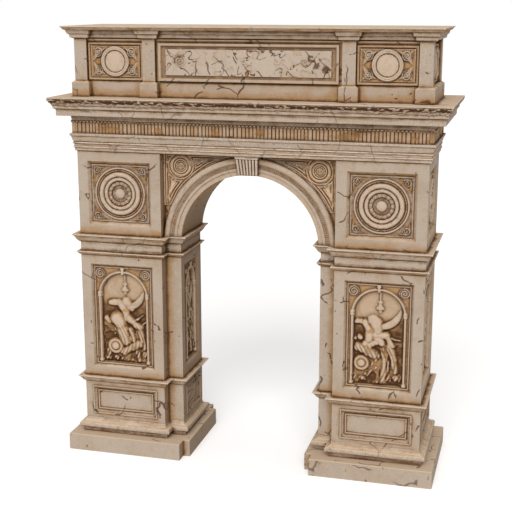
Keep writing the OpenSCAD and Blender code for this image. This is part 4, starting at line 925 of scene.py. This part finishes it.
# Height of a spandrel: the rosette's disc, bands that follow the nearest edge, then scroll, tail and leaves
def spandrelSurface(hand, seed):
    def surface(a, b):
        p = spandrels
        a = hand * a
        x, z = a + fieldMid[0], b + fieldMid[1]
        rx, rz = p["rosette"]
        away = np.hypot(x - rx, z - rz)
        fromArch = np.hypot(x, z - arch["centreZ"]) - arch["outer"]
        rings = [hoop(x, z, (rx, rz), p["radius"] - inset, half) for inset, half in p["rings"]]
        flower = p["petalRise"] * petals(x, z, (rx, rz), p["eye"], p["petals"])
        disc = p["plate"] + p["ringRise"] * np.maximum.reduce(rings) + flower
        fromRing = away - p["radius"] - p["ringGap"]
        nearest = np.minimum.reduce([fromRing, fromArch, fieldX[1] - x, fieldZ[1] - z])
        nearest = nearest + roughen(x, z, seed + 4, *p["wander"])
        flow = 0.5 + 0.5 * np.cos(2 * math.pi * nearest / p["pitch"])
        out = np.where(away < p["radius"], disc, p["ground"] + p["proud"] * flow ** 0.8)
        sx, sz, *winding = p["scroll"]
        curl = scroll(x, z, (rx + sx, rz + sz), *winding)
        out = layOn(out, curl > 0, p["plate"] + p["curl"] * curl)
        tail = limb(x, z, (rx + sx, rz + sz - p["tailDrop"], *p["tail"]))[0]
        out = layOn(out, tail > 0, p["tailRise"] * tail)
        leaf = p["leaf"]
        for k, place in enumerate(p["leaves"]):
            stem, tip = (np.add(place, leaf[end]) for end in ("stem", "tip"))
            bud, offset = limb(x, z, (*stem, *tip, leaf["half"] - leaf["less"] * k, leaf["tipHalf"]))
            vein = leaf["vein"] * np.cos(leaf["waves"][0] * offset + leaf["waves"][1] * (x - z))
            out = layOn(out, bud > 0, leaf["ground"] + leaf["rise"] * bud + vein)
        out = out + roughen(a, b, seed, *p["rough"])
        clear = (fromArch > p["archGap"]) & (x > p["start"] + p["startGap"])
        out = np.where(clear & (out > p["least"]), out, p["hidden"])
        return out, p["dirtAll"] + hollowDirtAndShade(out, *p["dirt"])
    return surface


# Field over the arch: each column runs from the archivolt's outer edge up to the architrave
def overArch(hand):
    def warp(a, b):
        x = np.clip(hand * a + fieldMid[0], 0, arch["outer"])
        edge = arch["centreZ"] + np.sqrt(arch["outer"] ** 2 - x ** 2) - fieldMid[1]
        low = np.maximum(edge, -fieldSize[1] / 2)
        return a, low + (b / fieldSize[1] + 0.5) * (fieldSize[1] / 2 - low)
    return warp


for facing, way in ways:
    for side, sideName in sides:
        hand = -facing * side
        face = wallFace(wall, way, side * fieldMid[0], fieldMid[1])
        surface = spandrelSurface(hand, spandrels["seed"] + hand)
        carved = carveSlab(way + sideName.title() + "Spandrel", way + "_rosettes", face, fieldSize,
                           spandrels, surface, overArch(hand))
        # The spandrels take the lighter stone, painted light where the architrave shades them
        carved.data.materials[0] = brightenedSpandrelStone
print("spandrels carved")


# Archivolts: fascia, fillet, carved hollow and hood, swept from the impost to the keystone on both sides.
# Points of the section are a radius and a step out from the wall
archivolts = {
    "foot": 0.18, "keyHalf": 0.34, "steps": 360, "leaf": 0.075, "cut": 0.012, "bandRadius": 2.78,
    "bandSteps": 7, "worn": (0.35, 0.30, 0.55), "rough": (0.15, 0.010), "lift": (1.3, 0.4, 0.6),
    "dirt": (0.65, 0.40), "seed": 100,
    "plain": [(2.410, 0.0), (2.410, 0.105), (2.565, 0.105), (2.568, 0.130), (2.655, 0.130)],
    "band": [(2.662, 0.095), (2.80, 0.135)],
    "hood": [(2.805, 0.175), (2.825, 0.205), (2.87, 0.225), (2.93, 0.225), (2.975, 0.205), (2.998, 0.170),
             (arch["outer"], 0.0)],
}


# Each ring's angle runs from the impost's level to the keystone's side at that ring's own radius
def archivoltRings(wallY, facing, side, seed):
    p = archivolts
    slope = np.linspace(0, 1, p["bandSteps"])
    low, high = p["band"]
    band = [low[0] + (high[0] - low[0]) * slope, low[1] + (high[1] - low[1]) * slope ** 1.6]
    section = np.concatenate([p["plain"], np.stack(band, axis=1), p["hood"]])
    radius, out = section[:, 0], section[:, 1]
    start = np.arcsin(p["foot"] / radius)
    end = np.arccos(p["keyHalf"] / radius)
    turn = start + (end - start) * np.linspace(0, 1, p["steps"] + 1)[:, None]
    first = len(p["plain"])
    carved = np.zeros(len(radius))
    carved[first:first + p["bandSteps"]] = np.sin(math.pi * np.clip(slope, 0.04, 0.96))
    along = p["bandRadius"] * turn
    lobe = np.abs(np.sin(math.pi * along / p["leaf"]))
    dart = 0.5 + 0.5 * np.cos(2 * math.pi * (along / (p["leaf"] * 0.5) + 3 * radius))
    worn = patches(along, radius + 0 * along, seed, *p["worn"])
    lobeRise, dartRise, drop = p["lift"]
    lift = carved * p["cut"] * (lobeRise * lobe * worn + dartRise * dart - drop)
    rough = roughen(along, 3 * radius + 0 * along, seed + 9, *p["rough"]) * (out > 0.01)
    # Dirt and painted shade in the carved band, less on the raised lobes
    depth = carved * (p["dirt"][0] - p["dirt"][1] * lobe * worn)
    x = side * radius * np.cos(turn)
    y = wallY + facing * (out + lift + rough)
    return np.stack([x, y, arch["centreZ"] + radius * np.sin(turn)], axis=-1), depth


for facing, way in ways:
    nodeName = way + "_archivolt"
    wallY = wall[0][1] if way == "front" else wall[1][1]
    for side, sideName in sides:
        rings, depth = archivoltRings(wallY, facing, side, archivolts["seed"] + facing + 2 * side)
        sweepSection(way + sideName.title() + "Archivolt", rings, depth, slotOf[nodeName], [nodeName])
print("archivolts swept")


# Keystones: a scrolled bracket that leans out in an S-curve, fluted from its square head to its foot
keystones = {"foot": 10.15, "halfFoot": 0.342, "halfTop": 0.393, "nose": 0.267, "reach": 0.43, "head": 0.085,
             "headStep": 0.03, "curve": (0.05, 0.9), "under": (0.06, 0.10), "flutes": 7, "cut": 0.034,
             "beadPitch": 0.075, "beadCut": 0.010, "beadBelow": 0.7, "rough": (0.1, 0.010),
             "dirt": (1.7, 0.15, 0.65), "seed": 120, "back": 0.0, "cells": (84, 56)}
keyHeight = architrave[0][2] - keystones["foot"]


# Profile: a smooth S from the nose to the reach, rounded under at the foot and square at the head
def keystoneSurface(seed):
    def surface(a, b):
        p = keystones
        t = b / keyHeight + 0.5
        lean = p["nose"] + (p["reach"] - p["headStep"] - p["nose"]) * fade(t, *p["curve"])
        lean = lean - p["under"][0] * np.clip(1 - t / p["under"][1], 0, 1) ** 2
        halfWidth = p["halfFoot"] + (p["halfTop"] - p["halfFoot"]) * t
        flute = np.abs(np.sin(0.5 * math.pi * p["flutes"] * (a / halfWidth + 1)))
        beading = 0.5 + 0.5 * np.cos(2 * math.pi * b / p["beadPitch"])
        out = lean - p["cut"] * (1 - flute ** 0.6) - p["beadCut"] * beading * (flute < p["beadBelow"])
        head = t > 1 - p["head"] / keyHeight
        out = np.where(head, p["reach"], out) + roughen(a, b, seed, *p["rough"])
        # Dirt and painted shade in the flutes, none on the head
        return out, np.where(head, 0.0, hollowDirtAndShade(flute, *p["dirt"]))
    return surface


# Wedge: the grid narrows evenly from the head to the foot
def wedge(a, b):
    narrow = 1 - keystones["halfFoot"] / keystones["halfTop"]
    return a * (1 - narrow * (0.5 - b / keyHeight)), b


for _, way in ways:
    face = wallFace(wall, way, 0.0, keystones["foot"] + keyHeight / 2)
    carveSlab(way + "Keystone", way + "_keystone", face, (2 * keystones["halfTop"], keyHeight), keystones,
              keystoneSurface(keystones["seed"]), wedge)
print("keystones carved")


# Architrave: a thin rounded string over each flat band, carried round the four corners. A course is its level
# above the architrave's foot and its reach beyond the piers
strings = {"breadth": 0.050, "courses": {"lower": (0.147, 0.058), "upper": (0.288, 0.068)}}
pierHalf = (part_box("right_shaft")[1][0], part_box("right_shaft")[1][1])
out, up = panelBead(0.0, strings["breadth"], 0.0)[::-1]
for label, (level, reach) in strings["courses"].items():
    plan = [cornerSigns[:, k:k + 1] * (pierHalf[k] + reach + out) for k in range(2)]
    z = architrave[0][2] + level - strings["breadth"] / 2 + up
    rings = np.stack([*plan, np.broadcast_to(z, plan[0].shape)], axis=-1)
    loopMoulding(label + "ArchitraveString", rings, slotOf["architrave"])
print("architrave strings laid")


# Frieze of upright reeds with a course of beads over it, on all four sides
friezes = {"pitch": 0.125, "cut": 0.030, "drift": (0.5, 0.11), "edge": (0.66, 0.96),
           "worn": (0.5, 0.30, 0.42), "rough": (0.06, 0.008), "dirt": (1.5, 1.1), "rows": 10, "perReed": 9,
           "back": -0.12, "seed": 150,
           "beadPitch": 0.130, "beadHalf": 0.052, "beadOut": 0.042, "beadWorn": (0.4, 0.25, 0.45),
           "beadDirtAndShade": (1.4, 0.9), "beadRows": 6, "beadSeed": 140}


# Reeds: their spacing wanders, each is a rounded bar, and worn stretches sink back to the ground
def reedSurface(seed):
    def surface(a, b):
        p = friezes
        drift = a + roughen(a, 0 * a, seed, *p["drift"])
        phase = np.abs(2 * np.mod(drift / p["pitch"], 1) - 1)
        own = latticeNoise(np.floor(drift / p["pitch"]) + 0.5, 0 * a, seed + 6)
        reed = (1 - fade(phase, *p["edge"])) * (0.60 + 0.40 * own)
        worn = patches(a, 1.5 * b, seed + 4, *p["worn"])
        height = reed * (0.35 + 0.65 * worn)
        out = -p["cut"] * (1 - height) + roughen(a, b, seed + 8, *p["rough"])
        # Dirt and painted shade between the reeds
        return out, p["dirt"][0] - p["dirt"][1] * height
    return surface


# Beads: half-balls side by side along the course
def beadSurface(height, seed):
    def surface(a, b):
        p = friezes
        across = (np.mod(a / p["beadPitch"], 1) - 0.5) * p["beadPitch"]
        ball = halfRound(np.hypot(across / p["beadHalf"], b / (0.5 * height)), 1)
        worn = patches(a, b, seed, *p["beadWorn"])
        # Dirt and painted shade between the beads
        depth = p["beadDirtAndShade"][0] - p["beadDirtAndShade"][1] * ball * worn
        return p["beadOut"] * ball * (0.4 + 0.6 * worn), depth
    return surface


# A carved course of the frieze on one side: the span between the box's ends, cut into cells by its pitch
def carveCourse(name, nodeName, box, way, inset, pitch, rows, surface):
    low, high = box
    along = 0 if way in ("front", "back") else 1
    span = high[along] - low[along] - 2 * inset
    face = pierFace(box, way if along == 0 else "end", -1 if way == "left" else 1, (low[2] + high[2]) / 2)
    plan = {"cells": (int(span / pitch * friezes["perReed"]), rows), "back": friezes["back"]}
    carveSlab(name, nodeName, sunk(face, inset), (span, high[2] - low[2]), plan, surface)


friezeBox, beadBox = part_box("frieze"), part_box("bead_course")
for k, way in enumerate(("front", "back", "left", "right")):
    carveCourse(way + "Frieze", "frieze", friezeBox, way, 0.0, friezes["pitch"], friezes["rows"],
                reedSurface(friezes["seed"] + 3 * k))
    carveCourse(way + "Beads", "bead_course", beadBox, way, friezes["beadOut"], friezes["beadPitch"],
                friezes["beadRows"], beadSurface(beadBox[1][2] - beadBox[0][2], friezes["beadSeed"] + k))
print("frieze and beads carved")


# Cornice leaves: the cyma under the top lip carries upright leaves, mitred at the four corners
cornices = {"foot": 12.395, "top": 12.615, "reachFoot": 0.592, "reachTop": 0.712, "leaf": 0.235,
            "cut": 0.030, "curve": 0.13, "worn": (0.45, 0.25, 0.5), "flecks": (0.11, 0.54, 0.70),
            "dirt": (1.6, 0.4, 1.3), "perLeaf": 12, "rows": 12, "skin": 0.05, "seed": 170}


# Leaf: broad at its foot, narrowing to a tip that curls out, with a rib, and a dark cut between leaves
def corniceLeaves(half, seed):
    c = cornices
    count = int(2 * half / c["leaf"]) * c["perLeaf"]
    t = np.linspace(0, 1, c["rows"] + 1)[None, :]
    s = np.linspace(-1, 1, count + 1)[:, None]
    rise = t - c["curve"] * np.sin(2 * math.pi * t)
    reach = c["reachFoot"] + (c["reachTop"] - c["reachFoot"]) * rise
    phase = np.abs(2 * np.mod(s * half / c["leaf"], 1) - 1)
    body = 1 - fade(phase / (0.86 - 0.50 * t ** 3), 0.78, 1.0)
    rib = 0.30 * (1 - fade(phase, 0.0, 0.14))
    veins = 0.14 * np.cos(2 * math.pi * (3.0 * phase + 2.2 * t))
    worn = patches(s * half, 2 * t + 0 * s, seed, *c["worn"])
    flecks = patches(s * half, 0.55 * t + 0 * s, seed + 5, *c["flecks"])
    height = 0.55 * body * (0.45 + 0.35 * t + rib + veins) * (0.35 + 0.65 * worn) + 0.75 * flecks
    out = reach + c["cut"] * (height - 0.05)
    z = c["foot"] + (c["top"] - c["foot"]) * t + 0 * s
    # Dirt and painted shade between the leaves, less on their tops and flecks
    dirt, clean, bare = c["dirt"]
    return s, out, z, np.clip(dirt - clean * height - bare * flecks, 0, 2)


# One side: the leaves in front and a flat skin behind them; each end runs out with the reach to its mitre
def addCorniceSide(name, half, deepHalf, turn, seed):
    s, out, z, depth = corniceLeaves(half, seed)
    reach = np.concatenate([out, np.full(out.shape, cornices["reachFoot"] - cornices["skin"])], axis=1)
    up = np.concatenate([z, z[:, ::-1]], axis=1)
    rings = onFace({"origin": (0.0, 0.0, 0.0), "turn": turn}, s * (half + reach), up, deepHalf + reach)
    sweepSection(name, rings, np.concatenate([depth, np.ones(depth.shape)], axis=1), "weathered_stone")


for way, turn in (("front", 0), ("back", 180), ("left", -90), ("right", 90)):
    half, deepHalf = pierHalf if way in ("front", "back") else pierHalf[::-1]
    addCorniceSide(way + "CorniceLeaves", half, deepHalf, turn, cornices["seed"] + turn // 45)
print("cornice leaves carved")


# Attic roundels: a plain disc in two rings inside each side frame, with scrolled leaves in the corners.
# The scroll is its middle, radius and pitch and the leaves are limbs, in distances from the opening's edges
attics = {
    "disc": 0.3525, "rings": (0.405, 0.465), "half": 0.036, "level": 0.045, "ground": 0.006, "sideX": 4.5675,
    "scroll": ((0.26, 0.20), 0.16, 0.07), "curl": 0.065, "veins": (70, 50), "clear": 0.05,
    "ringGround": 0.03, "ringRise": 1.2, "dish": (0.012, 6), "rough": (0.1, 0.010), "least": 0.004,
    "dirt": (1.0, 0.012, 0.045),
    "leaves": [(0.24, 0.20, 0.07, 0.05, 0.075, 0.03), (0.20, 0.30, 0.08, 0.48, 0.07, 0.03),
               (0.34, 0.15, 0.62, 0.06, 0.06, 0.02)],
    "opening": (1.725, 1.015), "endOpening": (1.812, 1.015), "seed": 190, "endSeed": 196, "back": -0.04,
    "cells": (112, 66),
}


# Height of an attic roundel: corner scrolls and veined leaves outside the rings, then rings and disc
def atticRoundel(size, seed):
    def surface(a, b):
        p = attics
        away = np.hypot(a, b)
        edgeA, edgeB = size[0] / 2 - np.abs(a), size[1] / 2 - np.abs(b)
        curl = p["curl"] * scroll(edgeA, edgeB, *p["scroll"])
        leaves = np.maximum.reduce([limb(edgeA, edgeB, row)[0] for row in p["leaves"]])
        veins = 0.75 + 0.25 * np.cos(p["veins"][0] * edgeA + p["veins"][1] * edgeB)
        outside = away > p["rings"][1] + p["clear"]
        out = np.maximum(p["ground"], np.maximum(curl, leaves * veins) * outside)
        for radius in p["rings"]:
            ring = hoop(a, b, (0, 0), radius, p["half"])
            out = layOn(out, ring > 0, p["ringGround"] + p["ringRise"] * ring)
        dish = p["dish"][0] * np.cos(p["dish"][1] * away)
        out = np.where(away < p["disc"], p["level"] + dish, out)
        out = np.maximum(out + roughen(a, b, seed, *p["rough"]), p["least"])
        return out, hollowDirtAndShade(out, *p["dirt"])
    return surface


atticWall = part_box("attic_wall")
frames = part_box("attic_frames")
atticZ = (frames[0][2] + frames[1][2]) / 2
for _, way in ways:
    for side, sideName in sides:
        face = wallFace(atticWall, way, side * attics["sideX"], atticZ)
        carveSlab(way + sideName.title() + "AtticRoundel", "attic_roundels", face, attics["opening"], attics,
                  atticRoundel(attics["opening"], attics["seed"] + side))
for side, sideName in sides:
    face = pierFace(atticWall, "end", side, atticZ)
    carveSlab(sideName + "EndAtticRoundel", "attic_roundels", face, attics["endOpening"], attics,
              atticRoundel(attics["endOpening"], attics["endSeed"] + side))
print("attic roundels carved")


# Attic tablets: a moulded frame about a worn field with lost patches, slanting cracks and remains of scrolls
tablets = {
    "frame": 0.130, "proud": 0.070, "border": (0.110, 0.050), "field": 0.040, "lost": 0.018, "crack": 0.030,
    "crackWidth": 0.011, "scrolls": [(-2.28, 0.03, 0.20), (1.92, 0.05, 0.13)], "scrollPitch": 0.085,
    "scrollGround": 0.02, "scrollRise": 0.05, "lostPatches": (0.36, 0.54, 0.58), "crossing": (0.5, 0.47),
    "crackPatches": (0.5, 0.44, 0.52), "rough": (0.08, 0.006), "least": 0.002, "lostDirt": 0.15,
    "crackDirt": 1.8, "frameTone": 0.45, "frameDirtAndShade": (0.35, 0.0, 0.05), "seed": 210, "back": -0.04,
    "cells": (420, 84),
}


# Height of a tablet: cracks run where either of two slanting noises crosses its middle value
def tabletSurface(size, seed):
    def surface(a, b):
        p = tablets
        edgeA, edgeB = size[0] / 2 - np.abs(a), size[1] / 2 - np.abs(b)
        out = p["proud"] * (1 - fade(np.minimum(edgeA, edgeB), p["frame"] / 2, p["frame"]))
        inside = (edgeA > p["frame"] + p["border"][0]) & (edgeB > p["frame"] + p["border"][1])
        lost = patches(a + 0.3 * b, b, seed, *p["lostPatches"])
        ragged = weather(0.8 * a + 0.5 * b, 0.45 * b - 0.2 * a, seed + 7, 0.55)
        second = weather(0.7 * a - 0.6 * b, 0.5 * b + 0.2 * a, seed + 19, 0.45)
        split = np.minimum(np.abs(ragged - p["crossing"][0]), np.abs(second - p["crossing"][1]))
        kept = patches(a, b, seed + 31, *p["crackPatches"])
        cracks = kept * (1 - fade(split, 0, p["crackWidth"]))
        field = p["field"] - p["lost"] * lost - p["crack"] * cracks
        for x, z, radius in p["scrolls"]:
            curl = scroll(a, b, (x, z), radius, p["scrollPitch"])
            field = layOn(field, curl > 0, p["scrollGround"] + p["scrollRise"] * curl)
        out = np.where(inside, field, out) + roughen(a, b, seed + 5, *p["rough"])
        broken = p["lostDirt"] * lost + p["crackDirt"] * cracks
        depth = np.where(inside, broken, p["frameTone"] + hollowDirtAndShade(out, *p["frameDirtAndShade"]))
        return np.maximum(out, p["least"]), depth
    return surface


for _, way in ways:
    nodeName = way + "_tablet"
    low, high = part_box(nodeName)
    size = (high[0] - low[0], high[2] - low[2])
    face = wallFace(atticWall, way, 0.0, (low[2] + high[2]) / 2)
    carveSlab(way + "Tablet", nodeName, face, size, tablets, tabletSurface(size, tablets["seed"]))
print("attic tablets carved")


# Camera at the photograph's viewing point
viewpoint = {"place": (9.2925, -35.112, 15.786), "yaw": 0.2605, "pitch": -0.2344, "lens": 74.9,
             "sensor": 36.0, "far": 500.0}
cameraData = bpy.data.cameras.new("camera")
cameraData.sensor_width = viewpoint["sensor"]
cameraData.lens = viewpoint["lens"]
cameraData.clip_end = viewpoint["far"]
camera = addObject("camera", cameraData)
camera.location = viewpoint["place"]
camera.rotation_euler = (math.pi / 2 + viewpoint["pitch"], 0.0, viewpoint["yaw"])
bpy.context.scene.camera = camera

# Soft studio light: an even surround that shows white, and a broad lamp high in front, a little to the right
lamps = {"surround": 0.50, "shown": 1.0, "keyPower": 2.25, "keyAngle": 45, "keyTurn": (53, 0, 7)}
white = (1.0, 1.0, 1.0, 1.0)
world = bpy.data.worlds.new("surround")
bpy.context.scene.world = world
world.use_nodes = True
worldTree = world.node_tree
backdrop = worldTree.nodes["Background"]
backdrop.inputs["Color"].default_value = white
rays = addNode(worldTree, "LightPath")
seen = maths(worldTree, "MAXIMUM", rays.outputs["Is Camera Ray"], rays.outputs["Is Glossy Ray"])
seen = maths(worldTree, "MAXIMUM", seen, rays.outputs["Is Transmission Ray"])
ends = {"To Min": lamps["surround"], "To Max": lamps["shown"]}
spread = addNode(worldTree, "MapRange", Value=seen, **ends)
feed(worldTree, spread.outputs["Result"], backdrop.inputs["Strength"])
keyData = bpy.data.lights.new("key", "SUN")
keyData.energy = lamps["keyPower"]
keyData.angle = math.radians(lamps["keyAngle"])
key = addObject("key", keyData)
key.rotation_euler = tuple(math.radians(angle) for angle in lamps["keyTurn"])

# Plain pale floor that shows white to the camera and keeps a soft shadow
floors = {"half": 160.0, "colour": (0.82, 0.81, 0.80, 1.0), "glow": 0.35}
floorMesh = bpy.data.meshes.new("floor")
floorCorners = np.column_stack([cornerSigns * floors["half"], np.zeros(4)])
floorMesh.from_pydata(floorCorners.tolist(), [], [(0, 1, 2, 3)])
floor = addObject("floor", floorMesh)
floorStone, floorTree = newMaterial("paleFloor")
glow = times(floorTree, addNode(floorTree, "LightPath").outputs["Is Camera Ray"], floors["glow"])
feedShader(floorTree, {"Base Color": floors["colour"], "Roughness": 1.0, "Specular IOR Level": 0.0,
                       "Emission Color": white, "Emission Strength": glow})
floorMesh.materials.append(floorStone)

bpy.context.scene.view_settings.view_transform = "Standard"
